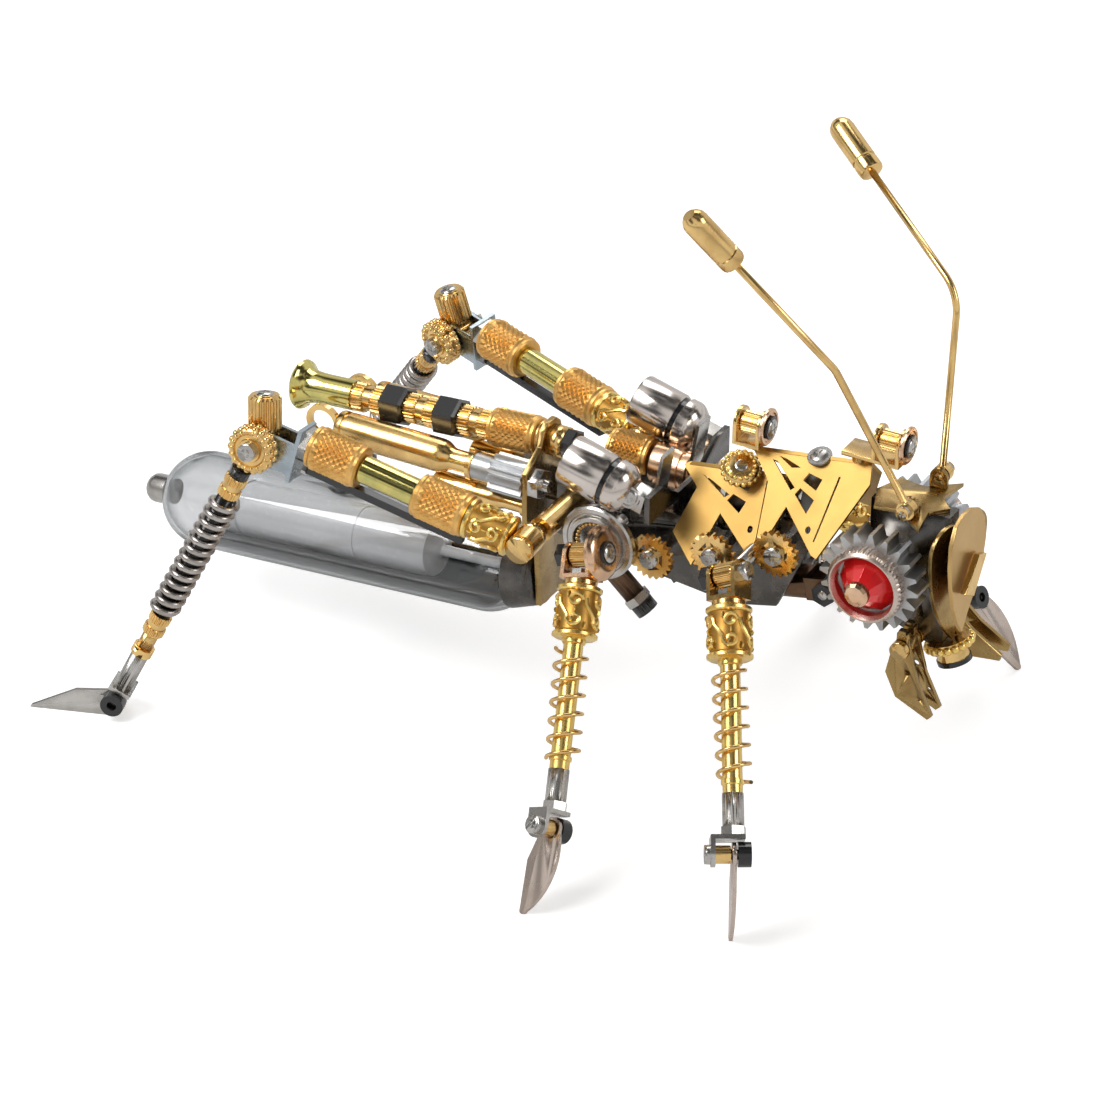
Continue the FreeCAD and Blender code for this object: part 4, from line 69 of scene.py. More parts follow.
print("box in millimetres:", [round(v / MM, 1) for corner in CAD_BOX for v in corner])

# %% [markdown]
# ## Small helpers for shader nodes
# A material in Blender is a graph of nodes. Short helpers keep the graphs
# readable: one adds a node, one joins two sockets, one sets plain numbers on a
# node's sockets, and one opens a new material with its Principled BSDF, the
# shader that nearly every real surface can use.


# %% Node helpers
def add_node(tree, kind, **settings):
    node = tree.nodes.new("ShaderNode" + kind)
    for name, value in settings.items():
        setattr(node, name, value)
    return node


def join(tree, source, output, target, name):
    tree.links.new(source.outputs[output], target.inputs[name])


def set_sockets(node, **values):
    for name, value in values.items():
        node.inputs[name.replace("_", " ")].default_value = value


def new_material(name):
    material = bpy.data.materials.new(name)
    material.use_nodes = True
    tree = material.node_tree
    return material, tree, tree.nodes["Principled BSDF"]


def group_sockets(group, way, **values):
    """Open the sockets of a group: a tuple makes a colour socket, a number a value socket."""
    for name, value in values.items():
        kind = "NodeSocketColor" if isinstance(value, tuple) else "NodeSocketFloat"
        title = name.replace("_", " ")
        made = group.interface.new_socket(name=title, in_out=way, socket_type=kind)
        made.default_value = value


# %% [markdown]
# ## Handled metal, as a shared node group
# Metal that was stamped, polished and then put together by hand isn't one even
# colour. It has faint clouds of tarnish, fine grain from polishing and a
# dull film in places. The group below makes all three from noise in the
# object's own coordinates, so that they stay with the part when it moves. It
# could be painted by hand too, but noise needs no image and works at any size.


# %% Node group: handled metal
def build_handled_metal():
    group = bpy.data.node_groups.new("handled metal", "ShaderNodeTree")
    grey = (0.8, 0.8, 0.8, 1)
    group_sockets(group, "INPUT", Clean=grey, Tarnish=grey, Tarnish_Amount=0.4, Roughness=0.25)
    group_sockets(group, "INPUT", Film=0.12, Cloud_Scale=180.0, Grain_Scale=2600.0)
    group_sockets(group, "OUTPUT", Colour=grey, Roughness=0.25, Height=0.0)
    inside = group.nodes.new("NodeGroupInput")
    outside = group.nodes.new("NodeGroupOutput")
    place = add_node(group, "TexCoord")
    clouds = add_node(group, "TexNoise")
    set_sockets(clouds, Detail=5.0, Roughness=0.6)
    grain = add_node(group, "TexNoise")
    set_sockets(grain, Detail=3.0)
    for noise, scale in ((clouds, "Cloud Scale"), (grain, "Grain Scale")):
        join(group, place, "Object", noise, "Vector")
        join(group, inside, scale, noise, "Scale")
    ramp = add_node(group, "MapRange")
    set_sockets(ramp, From_Min=0.42, From_Max=0.72)
    join(group, clouds, "Fac", ramp, "Value")
    share = add_node(group, "Math", operation="MULTIPLY")
    join(group, ramp, "Result", share, 0)
    join(group, inside, "Tarnish Amount", share, 1)
    blend = add_node(group, "Mix", data_type="RGBA")
    join(group, share, 0, blend, "Factor")
    join(group, inside, "Clean", blend, 6)
    join(group, inside, "Tarnish", blend, 7)
    join(group, blend, 2, outside, "Colour")
    film = add_node(group, "Math", operation="MULTIPLY_ADD")
    join(group, ramp, "Result", film, 0)
    join(group, inside, "Film", film, 1)
    join(group, inside, "Roughness", film, 2)
    speck = add_node(group, "Math", operation="MULTIPLY_ADD")
    speck.inputs[1].default_value = 0.08
    join(group, grain, "Fac", speck, 0)
    join(group, film, 0, speck, 2)
    join(group, speck, 0, outside, "Roughness")
    join(group, grain, "Fac", outside, "Height")
    return group


HANDLED_METAL = build_handled_metal()


# %% A metal that uses the group
GRAIN_SCALE = 2600.0
GRAIN_STRENGTH = 0.05
GRAIN_DEPTH = 0.05 * MM


def metal(name, clean, tarnish, amount, roughness, film=0.12, cloud=180.0):
    material, tree, shader = new_material(name)
    worn = add_node(tree, "Group", node_tree=HANDLED_METAL)
    set_sockets(worn, Clean=(*clean, 1), Tarnish=(*tarnish, 1), Tarnish_Amount=amount)
    set_sockets(worn, Roughness=roughness, Film=film, Cloud_Scale=cloud, Grain_Scale=GRAIN_SCALE)
    relief = add_node(tree, "Bump")
    set_sockets(relief, Strength=GRAIN_STRENGTH, Distance=GRAIN_DEPTH)
    join(tree, worn, "Colour", shader, "Base Color")
    join(tree, worn, "Roughness", shader, "Roughness")
    join(tree, worn, "Height", relief, "Height")
    join(tree, relief, "Normal", shader, "Normal")
    shader.inputs["Metallic"].default_value = 1.0
    return material


SILVER_STEEL = metal("silver steel", (0.56, 0.54, 0.51), (0.28, 0.26, 0.24), 0.6, 0.17)
BLUE_STEEL = metal("blue-grey bracket steel", (0.42, 0.48, 0.52), (0.22, 0.25, 0.28), 0.5, 0.2)
DARK_STEEL = metal("dark plate steel", (0.1, 0.095, 0.09), (0.22, 0.2, 0.18), 0.6, 0.2)
CUP_STEEL = metal("drawn motor can", (0.66, 0.6, 0.55), (0.5, 0.42, 0.37), 0.5, 0.13, 0.06)
GEAR_GREY = metal("satin grey gear", (0.5, 0.51, 0.52), (0.32, 0.32, 0.32), 0.5, 0.3)
BRASS = metal("polished brass", (0.84, 0.57, 0.23), (0.5, 0.29, 0.1), 0.6, 0.13)
GREEN_BRASS = metal("polished brass tube", (0.74, 0.62, 0.2), (0.42, 0.42, 0.16), 0.8, 0.08, 0.05)
CAST_GOLD = metal("cast gold relief", (0.92, 0.66, 0.22), (0.72, 0.44, 0.1), 0.5, 0.2)
# The cast gold made darker, as painted shade for the recessed ground between the scrolls of the
# beads.
SHADED_GOLD_GROUND = metal("cast gold ground in painted shade", (0.46, 0.26, 0.06), (0.26, 0.12, 0.03), 0.6, 0.34)
SATIN_GOLD = metal("satin gold", (0.64, 0.42, 0.17), (0.5, 0.31, 0.11), 0.5, 0.3, 0.06, 90.0)
SHELL_GOLD = metal("shell gold", (0.46, 0.28, 0.085), (0.4, 0.23, 0.065), 0.5, 0.36, 0.04, 90.0)
LEAF_GOLD = metal("dark leaf brass", (0.44, 0.3, 0.12), (0.26, 0.15, 0.05), 0.6, 0.2)
PINK_STEEL = metal("warm claw steel", (0.62, 0.52, 0.45), (0.42, 0.33, 0.28), 0.5, 0.2)
ORANGE_BRASS = metal("orange brass", (0.84, 0.5, 0.16), (0.62, 0.32, 0.08), 0.6, 0.3)
PINK_GOLD = metal("coppery gold", (0.78, 0.52, 0.34), (0.56, 0.3, 0.16), 0.6, 0.14)
DARK_BROWN = metal("browned steel", (0.13, 0.075, 0.045), (0.24, 0.15, 0.09), 0.6, 0.28)
SPRING_STEEL = metal("grey spring steel", (0.5, 0.46, 0.43), (0.24, 0.21, 0.19), 0.6, 0.2)
print("metals so far:", [m.name for m in bpy.data.materials])


# %% [markdown]
# ## Finishes that aren't bare metal
# The nuts are blackened and waxed, so they are a dark shader with a clear coat.
# The eyes are red glass in front of foil. The bulb is smoked glass, thin and
# dark towards its edge, where one looks through more of it.


# %% Black, red, white and glass
def coated(name, colour, roughness, coat, metallic=0.0):
    material, tree, shader = new_material(name)
    place = add_node(tree, "TexCoord")
    noise = add_node(tree, "TexNoise")
    set_sockets(noise, Scale=900.0)
    join(tree, place, "Object", noise, "Vector")
    spread = add_node(tree, "MapRange")
    set_sockets(spread, To_Min=roughness, To_Max=roughness + 0.12)
    join(tree, noise, "Fac", spread, "Value")
    join(tree, spread, "Result", shader, "Roughness")
    set_sockets(shader, Base_Color=(*colour, 1), Metallic=metallic)
    set_sockets(shader, Coat_Weight=coat, Coat_Roughness=0.06)
    return material


BLACK_STEEL = coated("blackened steel", (0.008, 0.008, 0.009), 0.16, 0.35)
RED_GLASS = coated("red glass eye", (0.8, 0.01, 0.012), 0.05, 1.0, metallic=0.3)
WHITE_CORE = coated("white core", (0.92, 0.92, 0.93), 0.2, 0.6)
# Near-black teal for the sheet that paints shade in the lower part of the bulb.
DARK_SHADE_SHEET = coated("dark teal painted shade sheet", (0.01, 0.022, 0.026), 0.12, 0.8)
GLASS_CLEAR = (0.9, 0.91, 0.92)
GLASS_RIM = (0.03, 0.05, 0.055)


def smoked_glass():
    material, tree, shader = new_material("smoky glass")
    facing = add_node(tree, "LayerWeight")
    set_sockets(facing, Blend=0.5)
    depth = add_node(tree, "MapRange", interpolation_type="SMOOTHSTEP")
    set_sockets(depth, From_Min=0.25, From_Max=0.9)
    join(tree, facing, "Facing", depth, "Value")
    tint = add_node(tree, "Mix", data_type="RGBA")
    tint.inputs[6].default_value = (*GLASS_CLEAR, 1)
    tint.inputs[7].default_value = (*GLASS_RIM, 1)
    join(tree, depth, "Result", tint, "Factor")
    join(tree, tint, 2, shader, "Base Color")
    set_sockets(shader, Roughness=0.01, IOR=1.52, Transmission_Weight=1.0)
    return material


SMOKY_GLASS = smoked_glass()


# %% Finishes by the slots of the CAD model
FINISHES = {
    "smoky_glass": SMOKY_GLASS,
    "silver_steel": SILVER_STEEL,
    "chromed": CUP_STEEL,
    "brass": BRASS,
    "satin_gold": SATIN_GOLD,
    "orange_brass": ORANGE_BRASS,
    "black_steel": BLACK_STEEL,
    "dark_brown": DARK_BROWN,
    "red_glass": RED_GLASS,
    "white_core": WHITE_CORE,
}


# %% [markdown]
# ## Finding the separate solids
# A node of the frame can hold several solids, such as a tube, a nut and a screw.
# Each solid is an island of faces that touch. An island that was turned on a
# lathe has one direction that stands out from the other two, which the spread of
# its points gives, so the script can find the axis, length and radius of each.


# %% Islands of a mesh
Bar = namedtuple("Bar", "centre axis length radius")


def islands_of(mesh):
    found, seen = [], set()
    for first in mesh.verts:
        if first in seen:
            continue
        seen.add(first)
        island, waiting = [], [first]
        while waiting:
            point = waiting.pop()
            island.append(point)
            for edge in point.link_edges:
                other = edge.other_vert(point)
                if other not in seen:
                    seen.add(other)
                    waiting.append(other)
        found.append(island)
    return found


def measure(island):
    points = np.array([tuple(point.co) for point in island]) / MM
    middle = points.mean(0)
    spread, directions = np.linalg.eigh(np.cov((points - middle).T))
    lone = 0 if abs(spread[0] - spread[1]) > abs(spread[1] - spread[2]) else 2
    axis = directions[:, lone]
    along = (points - middle) @ axis
    across = np.linalg.norm(points - middle - np.outer(along, axis), axis=1)
    centre = middle + axis * (along.max() + along.min()) / 2
    head = across[along > along.max() - 0.05].max()
    foot = across[along < along.min() + 0.05].max()
    if head < foot:
        axis = -axis
    return Bar(Vector(centre), Vector(axis), along.max() - along.min(), across.max())


BODY_OF = {}
for body_name, nodes in frame["record"]["behaviour"]["bodies"].items():
    for node in nodes:
        BODY_OF[node] = body_name
SLOT_OF = {part["node"]: part["material_slot"] for part in frame["record"]["subparts"]}
print("bodies:", len(set(BODY_OF.values())))


# %% [markdown]
# ## Finishing the solids
# A solid keeps its shape, but its copy is merged into one skin, so that round
# work can be shaded smooth, and stamped plates get a fine bevel that catches a
# bright line of light. Where a modelled piece takes the place of one island, the
# copy leaves that island out.


# %% Picking, dressing and edges
def dress(piece, node):
    """Let a piece ride with a node's body, in the place of its solid."""
    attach(piece, BODY_OF[node])
    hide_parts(node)
    return piece


def pick_only(piece):
    bpy.ops.object.select_all(action="DESELECT")
    piece.select_set(True)
    bpy.context.view_layer.objects.active = piece


def open_up(piece):
    """Enter edit mode with every point of one piece selected."""
    pick_only(piece)
    bpy.ops.object.mode_set(mode="EDIT")
    bpy.ops.mesh.select_all(action="SELECT")


def bevel_edges(piece, width):
    """Bevel the sharp edges, so that they catch a bright line of light."""
    pick_only(piece)
    soften = piece.modifiers.new("edge", "BEVEL")
    soften.width = width * MM
    soften.segments = 2
    soften.harden_normals = True
    soften.angle_limit = math.radians(40)
    bpy.ops.object.modifier_apply(modifier="edge")


# %% Finish a node's solids
def finished_copy(node, choose=None, bevel=0.0, crease=32):
    """Copy a node with a finish for each solid. Solids given no finish come back as bars."""
    plain = FINISHES[SLOT_OF[node]]
    piece = bpy.data.objects.new(node + "_finished", frame["nodes"][node].data.copy())
    bpy.context.scene.collection.objects.link(piece)
    piece.data.materials.clear()
    mesh = bmesh.new()
    mesh.from_mesh(piece.data)
    bmesh.ops.remove_doubles(mesh, verts=mesh.verts, dist=0.001 * MM)
    finishes, left_out, bars = [], [], []
    for island in islands_of(mesh):
        bar = measure(island)
        finish = choose(bar) if choose else plain
        if finish is None:
            left_out += island
            bars.append(bar)
            continue
        if finish not in finishes:
            finishes.append(finish)
        for face in {face for point in island for face in point.link_faces}:
            face.material_index = finishes.index(finish)
    bmesh.ops.delete(mesh, geom=left_out, context="VERTS")
    mesh.to_mesh(piece.data)
    mesh.free()
    if not finishes:
        bpy.data.objects.remove(piece)
        return bars
    for finish in finishes:
        piece.data.materials.append(finish)
    pick_only(piece)
    if bevel:
        open_up(piece)
        bpy.ops.mesh.dissolve_limited(angle_limit=math.radians(0.5))
        bpy.ops.object.mode_set(mode="OBJECT")
        bevel_edges(piece, bevel)
    bpy.ops.object.shade_smooth_by_angle(angle=math.radians(crease))
    dress(piece, node)
    return bars


# %% [markdown]
# ## Turned work
# Most small parts of this kit came off a lathe. A circle that is extruded along
# its axis and resized at each step cuts the same outline. A profile is a list of
# radius and height in millimetres. A closed profile makes a ring with a bore.


# %% Turn a blank
def turned_blank(name, profile, around=40):
    ring = profile[0] == profile[-1]
    bpy.ops.object.select_all(action="DESELECT")
    ends = "NOTHING" if ring else "NGON"
    radius = profile[0][0] * MM
    bpy.ops.mesh.primitive_circle_add(vertices=around, radius=radius, fill_type=ends)
    piece = bpy.context.object
    piece.name = name
    bpy.ops.object.mode_set(mode="EDIT")
    bpy.ops.transform.translate(value=(0, 0, profile[0][1] * MM))
    for (radius, height), (next_radius, next_height) in zip(profile, profile[1:]):
        rise = (0, 0, (next_height - height) * MM)
        bpy.ops.mesh.extrude_region_move(TRANSFORM_OT_translate={"value": rise})
        ratio = next_radius / radius
        bpy.ops.transform.resize(value=(ratio, ratio, 1), center_override=(0, 0, next_height * MM))
    bpy.ops.mesh.select_all(action="SELECT")
    bpy.ops.mesh.remove_doubles(threshold=0.001 * MM)
    bpy.ops.mesh.normals_make_consistent(inside=False)
    return piece


def close_blank(piece, finish, crease=30):
    bpy.ops.object.mode_set(mode="OBJECT")
    piece.data.materials.append(finish)
    bpy.ops.object.shade_smooth_by_angle(angle=math.radians(crease))
    return piece


# %% Pick and press points of a blank
def select_points(piece, wanted):
    """In edit mode, select the points whose place in millimetres is wanted."""
    bpy.ops.mesh.select_mode(type="VERT")
    mesh = bmesh.from_edit_mesh(piece.data)
    for point in mesh.verts:
        point.select = wanted(point.co / MM)
    mesh.select_flush_mode()
    bmesh.update_edit_mesh(piece.data)


def mirrored(half):
    """A profile from its lower half, which ends below its middle."""
    return half + [(radius, -height) for radius, height in reversed(half)]


def column_of(place, around):
    return round(math.atan2(place.y, place.x) / (2 * math.pi) * around)


def squeeze(ratio):
    bpy.ops.transform.resize(value=(ratio, ratio, 1), center_override=(0, 0, 0))


# %% Copy a pattern onto a bar
def stand(place, axis):
    """The matrix that stands upright work at a place in millimetres, along an axis."""
    return Matrix.Translation(place * MM) @ axis.to_track_quat("Z", "Y").to_matrix().to_4x4()


def put_copy(pattern, size, bar, node, name):
    """Stretch a pattern of the given radius and length over the bar, as a piece of its own."""
    wide, tall = bar.radius / size[0], bar.length / size[1]
    mesh = pattern.data.copy()
    mesh.transform(stand(bar.centre, bar.axis) @ Matrix.Diagonal((wide, wide, tall, 1)))
    piece = bpy.data.objects.new(name, mesh)
    bpy.context.scene.collection.objects.link(piece)
    return dress(piece, node)


# %% Turn a piece where it stands
def turned_over(bar, node, name, profile, finish, around=40, crease=30):
    """Turn a profile whose heights start at the foot of the bar, and stand it on the bar."""
    piece = close_blank(turned_blank(name, profile, around), finish, crease)
    foot = bar.centre - bar.axis * (bar.length / 2)
    piece.data.transform(stand(foot, bar.axis))
    return dress(piece, node)


def aimed(bar, way):
    """The bar with its axis pointing the given way."""
    return bar if bar.axis.dot(Vector(way)) > 0 else bar._replace(axis=-bar.axis)


# %% Flat plates and openings
def flat_plate(name, corners, thick, finish):
    """A flat piece from its corners in millimetres, extruded along the given vector."""
    bpy.ops.object.select_all(action="DESELECT")
    bpy.ops.mesh.primitive_circle_add(vertices=len(corners), radius=MM, fill_type="NGON")
    piece = bpy.context.object
    piece.name = name
    for point, corner in zip(piece.data.vertices, corners):
        point.co = Vector(corner) * MM
    open_up(piece)
    bpy.ops.mesh.extrude_region_move(TRANSFORM_OT_translate={"value": Vector(thick) * MM})
    bpy.ops.mesh.select_all(action="SELECT")
    bpy.ops.mesh.normals_make_consistent(inside=False)
    return close_blank(piece, finish)


def cut_out(piece, cutter):
    pick_only(piece)
    cut = piece.modifiers.new("cut", "BOOLEAN")
    cut.object = cutter
    bpy.ops.object.modifier_apply(modifier="cut")
    retire(cutter)


def bright_edges(piece, width):
    bevel_edges(piece, width)
    bpy.ops.object.shade_smooth_by_angle(angle=math.radians(32))


def joined_pieces(name, pieces):
    pick_only(pieces[0])
    for piece in pieces:
        piece.select_set(True)
    bpy.ops.object.join()
    pieces[0].name = name
    return pieces[0]


def retire(*patterns):
    for pattern in patterns:
        bpy.data.objects.remove(pattern)


def near(value, wanted, slack=0.15):
    return abs(value - wanted) < slack


# %% [markdown]
# ## Patterns for what repeats
# Knurled sleeves, carved beads, fluted inserts, screws and springs come up again
# and again on this kit. Each is modelled once at the origin, standing on its
# axis, and later copied over every solid of its kind.

# %% Knurled sleeve
SLEEVE = (4.75, 11.7)
SLEEVE_COLUMNS = 44
SLEEVE_ROWS = 12
KNURL_FROM = 1.4
KNURL_TO = 10.3
KNURL_CUT = 0.92


def knurled_sleeve():
    """A lipped tube whose middle has every other point pressed in, which leaves diamonds."""
    radius, length = SLEEVE
    middle = length / 2
    step = (KNURL_TO - KNURL_FROM) / SLEEVE_ROWS
    rows = [(radius, KNURL_FROM + step * row - middle) for row in range(SLEEVE_ROWS + 1)]
    lip = [(radius - 0.7, -middle), (radius - 0.25, 0.3 - middle), (radius - 0.25, 0.9 - middle)]
    profile = lip + rows + [(r, -z) for r, z in reversed(lip)]
    piece = turned_blank("knurled_sleeve_pattern", profile, SLEEVE_COLUMNS)

    def in_hollow(place):
        row = round((place.z + middle - KNURL_FROM) / step)
        if not 0 < row < SLEEVE_ROWS or place.xy.length < radius - 0.1:
            return False
        return (row + column_of(place, SLEEVE_COLUMNS)) % 2 == 0

    select_points(piece, in_hollow)
    squeeze(KNURL_CUT)
    bpy.ops.mesh.select_all(action="SELECT")
    bpy.ops.mesh.quads_convert_to_tris(quad_method="SHORTEST_DIAGONAL")
    return close_blank(piece, ORANGE_BRASS, crease=6)


KNURLED_SLEEVE = knurled_sleeve()

# %% Fluted insert
INSERT = (3.2, 7.6)


def fluted(piece, columns, radius, ratio):
    """Press in every second pair of columns on the rim."""

    def in_flute(place):
        return place.xy.length > radius - 0.12 and column_of(place, columns) % 4 in (0, 1)

    select_points(piece, in_flute)
    squeeze(ratio)


def turned_pattern(name, half, columns, finish, crease, flute=None):
    """A pattern from the lower half of its profile, with flutes pressed in its rim."""
    piece = turned_blank(name, mirrored(half), columns)
    if flute:
        fluted(piece, columns, max(radius for radius, height in half), flute)
    return close_blank(piece, finish, crease)


half = [(2.85, -3.8), (3.2, -3.5), (3.2, -1.2), (2.85, -0.9), (2.7, -0.9)]
FLUTED_INSERT = turned_pattern("insert_pattern", half, 80, BRASS, 12, 0.88)

# %% Fluted roller and hexagon nut
ROLLER = (2.5, 4.6)
half = [(2.15, -2.3), (2.5, -1.95)]
FLUTED_ROLLER = turned_pattern("roller_pattern", half, 88, BRASS, 12, 0.9)
NUT = (4.1, 5.6)
half = [(3.567, -2.8), (4.1, -2.3)]
HEXAGON_NUT = turned_pattern("nut_pattern", half, 6, BLACK_STEEL, 20)

# %% Domed screw head with a cross recess
HEAD = (1.93, 1.6)
SLOT_LONG, SLOT_WIDE = 2.3, 0.36


def screw_head():
    radius = HEAD[0]
    profile = [(radius, -1.2), (radius, -0.05), (radius * 0.86, 0.22), (radius * 0.5, 0.4)]
    piece = close_blank(turned_blank("screw_head_pattern", profile, 24), SILVER_STEEL, crease=40)
    for along, across in ((SLOT_LONG, SLOT_WIDE), (SLOT_WIDE, SLOT_LONG)):
        bpy.ops.object.select_all(action="DESELECT")
        bpy.ops.mesh.primitive_cube_add(size=MM, location=(0, 0, 0.4 * MM))
        cutter = bpy.context.object
        cutter.scale = (along, across, SLOT_WIDE)
        bpy.ops.object.transform_apply(location=True, scale=True)
        cut_out(piece, cutter)
    bpy.ops.object.shade_smooth_by_angle(angle=math.radians(40))
    return piece


SCREW_HEAD = screw_head()


def head_of(bar, proud=0.4):
    """The section of a screw that its domed head covers."""
    end = bar.centre + bar.axis * (bar.length / 2)
    length = 1.2 + proud
    return Bar(end + bar.axis * (proud - length / 2), bar.axis, length, bar.radius * 1.02)


def section_of(bar, start, end, radius):
    """A section of a bar, measured from its wider end."""
    centre = bar.centre + bar.axis * (bar.length / 2 - (start + end) / 2)
    return Bar(centre, bar.axis, end - start, radius)


# %% Coil spring
def coil_spring(name, radius, length, wire, turns, finish):
    """A wire circle swept up a screw line, and closed at both ends."""
    bpy.ops.object.select_all(action="DESELECT")
    bpy.ops.mesh.primitive_circle_add(vertices=8, radius=wire * MM)
    piece = bpy.context.object
    piece.name = name
    bpy.ops.object.mode_set(mode="EDIT")
    bpy.ops.transform.rotate(value=math.radians(90), orient_axis="X", center_override=(0, 0, 0))
    low = (radius - wire) * MM, 0, (wire - length / 2) * MM
    bpy.ops.transform.translate(value=low)
    bpy.ops.object.mode_set(mode="OBJECT")
    sweep = piece.modifiers.new("sweep", "SCREW")
    sweep.axis = "Z"
    sweep.steps = sweep.render_steps = 20
    sweep.iterations = turns
    sweep.screw_offset = (length - 2 * wire) / turns * MM
    bpy.ops.object.modifier_apply(modifier="sweep")
    bpy.ops.object.mode_set(mode="EDIT")
    bpy.ops.mesh.select_all(action="SELECT")
    bpy.ops.mesh.fill_holes(sides=8)
    bpy.ops.mesh.normals_make_consistent(inside=False)
    return close_blank(piece, finish, crease=60)


LEG_SPRING = (3.67, 23.07)
SHIN_SPRING = (3.39, 32.8)
LEG_COIL = coil_spring("leg_coil_pattern", *LEG_SPRING, 0.42, 6, BRASS)
SHIN_COIL = coil_spring("shin_coil_pattern", *SHIN_SPRING, 0.78, 13, SPRING_STEEL)


# %% [markdown]
# ## Carved beads
# The beads of the legs are drums between two flanges, covered with scrolls and
# dots. A scroll is drawn flat as a curve with a round section, made a mesh, and
# wrapped round the drum, and its copies go round by a spin.

# %% Scroll lines
BEAD = (4.6, 10.6)
DRUM_RADIUS = 4.05
WRAP_RADIUS = DRUM_RADIUS + 0.1
SCROLL_WIRE = 0.46
SCROLLS_AROUND = 5
FLANGE = 1.3


def scroll_line(turns=1.15, start=1.45, steps=20):
    """Points of a C scroll that curls in at its upper end and runs out in a tail."""
    line = []
    for step in range(steps + 1):
        share = step / steps
        angle = 2 * math.pi * turns * share
        reach = start * (1 - 0.72 * share)
        line.append((reach * math.cos(angle), reach * math.sin(angle)))
    return line


# %% Wrap a line round the drum
def wrapped_tube(line, across, up, wire):
    """A round bar along a flat line, which is moved across and up, then bent round the drum."""
    data = bpy.data.curves.new("scroll_line", "CURVE")
    data.dimensions = "3D"
    data.bevel_depth = wire * MM
    data.bevel_resolution = 2
    data.use_fill_caps = True
    spline = data.splines.new("POLY")
    spline.points.add(len(line) - 1)
    for point, (x, z) in zip(spline.points, line):
        point.co = ((x + across) * MM, 0, (z + up) * MM, 1)
    flat = bpy.data.objects.new("scroll", data)
    bpy.context.scene.collection.objects.link(flat)
    pick_only(flat)
    bpy.ops.object.convert(target="MESH")
    for point in flat.data.vertices:
        angle = point.co.x / (WRAP_RADIUS * MM)
        reach = WRAP_RADIUS * MM + point.co.y
        point.co = (reach * math.sin(angle), reach * math.cos(angle), point.co.z)
    return flat


# %% Put the bead together
def carved_bead():
    radius, length = BEAD
    middle = length / 2
    half = [(radius - 0.5, -middle), (radius, 0.3 - middle), (radius, FLANGE - 0.4 - middle)]
    half += [(radius - 0.35, FLANGE - 0.1 - middle), (DRUM_RADIUS, FLANGE + 0.1 - middle)]
    bead = turned_blank("carved_bead_pattern", mirrored(half), 48)
    close_blank(bead, CAST_GOLD, crease=35)
    # The drum between the flanges takes the darker gold, which paints shade in the hollows between
    # the scrolls.
    bead.data.materials.append(SHADED_GOLD_GROUND)
    for face in bead.data.polygons:
        drum_in_painted_shade = abs(face.center.z / MM) < middle - FLANGE and len(face.vertices) == 4
        face.material_index = 1 if drum_in_painted_shade else 0
    pitch = 2 * math.pi * DRUM_RADIUS / SCROLLS_AROUND
    upper = [(-x, z) for x, z in scroll_line()]
    lower = [(x, -z) for x, z in scroll_line()]
    tail = [(-1.1, -2.4), (-0.9, -1.2), (0.9, 1.2), (1.1, 2.4)]
    marks = [(upper, 0, 1.9, SCROLL_WIRE), (lower, 0, -1.9, SCROLL_WIRE)]
    marks.append((tail, pitch / 2, 0, SCROLL_WIRE))
    for across, up in ((pitch * 0.3, 3.0), (pitch * 0.7, -3.0), (0, 0)):
        marks.append(([(-0.12, 0), (0.12, 0)], across, up, SCROLL_WIRE * 1.5))
    pieces = [bead]
    for index in range(SCROLLS_AROUND):
        for line, across, up, wire in marks:
            pieces.append(wrapped_tube(line, across + pitch * index, up, wire))
            pieces[-1].data.materials.append(CAST_GOLD)
    joined_pieces("carved_bead_pattern", pieces)
    bpy.ops.object.shade_smooth_by_angle(angle=math.radians(40))
    return bead


CARVED_BEAD = carved_bead()
print("carved bead:", len(CARVED_BEAD.data.polygons), "faces")


# %% [markdown]
# ## Beaded rings
# The knee rings, the hip rings and the mouth have rows of small balls, as on a
# milled ring. One ball is added beside the axis and spun round it in copies.


# %% A row of balls
def ball_row(name, radius, height, ball, count, finish):
    bpy.ops.object.select_all(action="DESELECT")
    bpy.ops.mesh.primitive_ico_sphere_add(subdivisions=2, radius=ball * MM)
    row = bpy.context.object
    row.name = name
    bpy.ops.object.mode_set(mode="EDIT")
    bpy.ops.transform.translate(value=(radius * MM, 0, height * MM))
    bpy.ops.mesh.spin(steps=count, dupli=True, angle=2 * math.pi, center=(0, 0, 0), axis=(0, 0, 1))
    bpy.ops.mesh.select_all(action="SELECT")
    bpy.ops.mesh.remove_doubles(threshold=0.001 * MM)
    return close_blank(row, finish, crease=60)


# %% Knee ring
KNEE_RING = (5.3, 3.8)


def knee_ring():
    """A scalloped ring with two rows of balls on its rim and one round its face."""
    middle = KNEE_RING[1] / 2
    profile = [(1.3, -middle), (4.3, -middle), (4.7, -middle + 0.4), (4.55, 0), (4.7, middle - 0.4)]
    profile += [(4.3, middle - 0.1), (3.6, middle - 0.1), (3.3, middle - 0.5), (2.6, middle - 0.5)]
    profile += [(2.4, middle), (1.3, middle), (1.3, -middle)]
    ring = close_blank(turned_blank("knee_ring_blank", profile, 48), BRASS)
    rows = [ball_row("row", 4.5, side * 0.95, 0.78, 18, BRASS) for side in (-1, 1)]
    rows.append(ball_row("row", 3.95, middle - 0.25, 0.5, 18, BRASS))
    return joined_pieces("knee_ring_pattern", [ring] + rows)


KNEE_RING_PATTERN = knee_ring()

# %% Hip ring
HIP_RING = (8.2, 2.6)


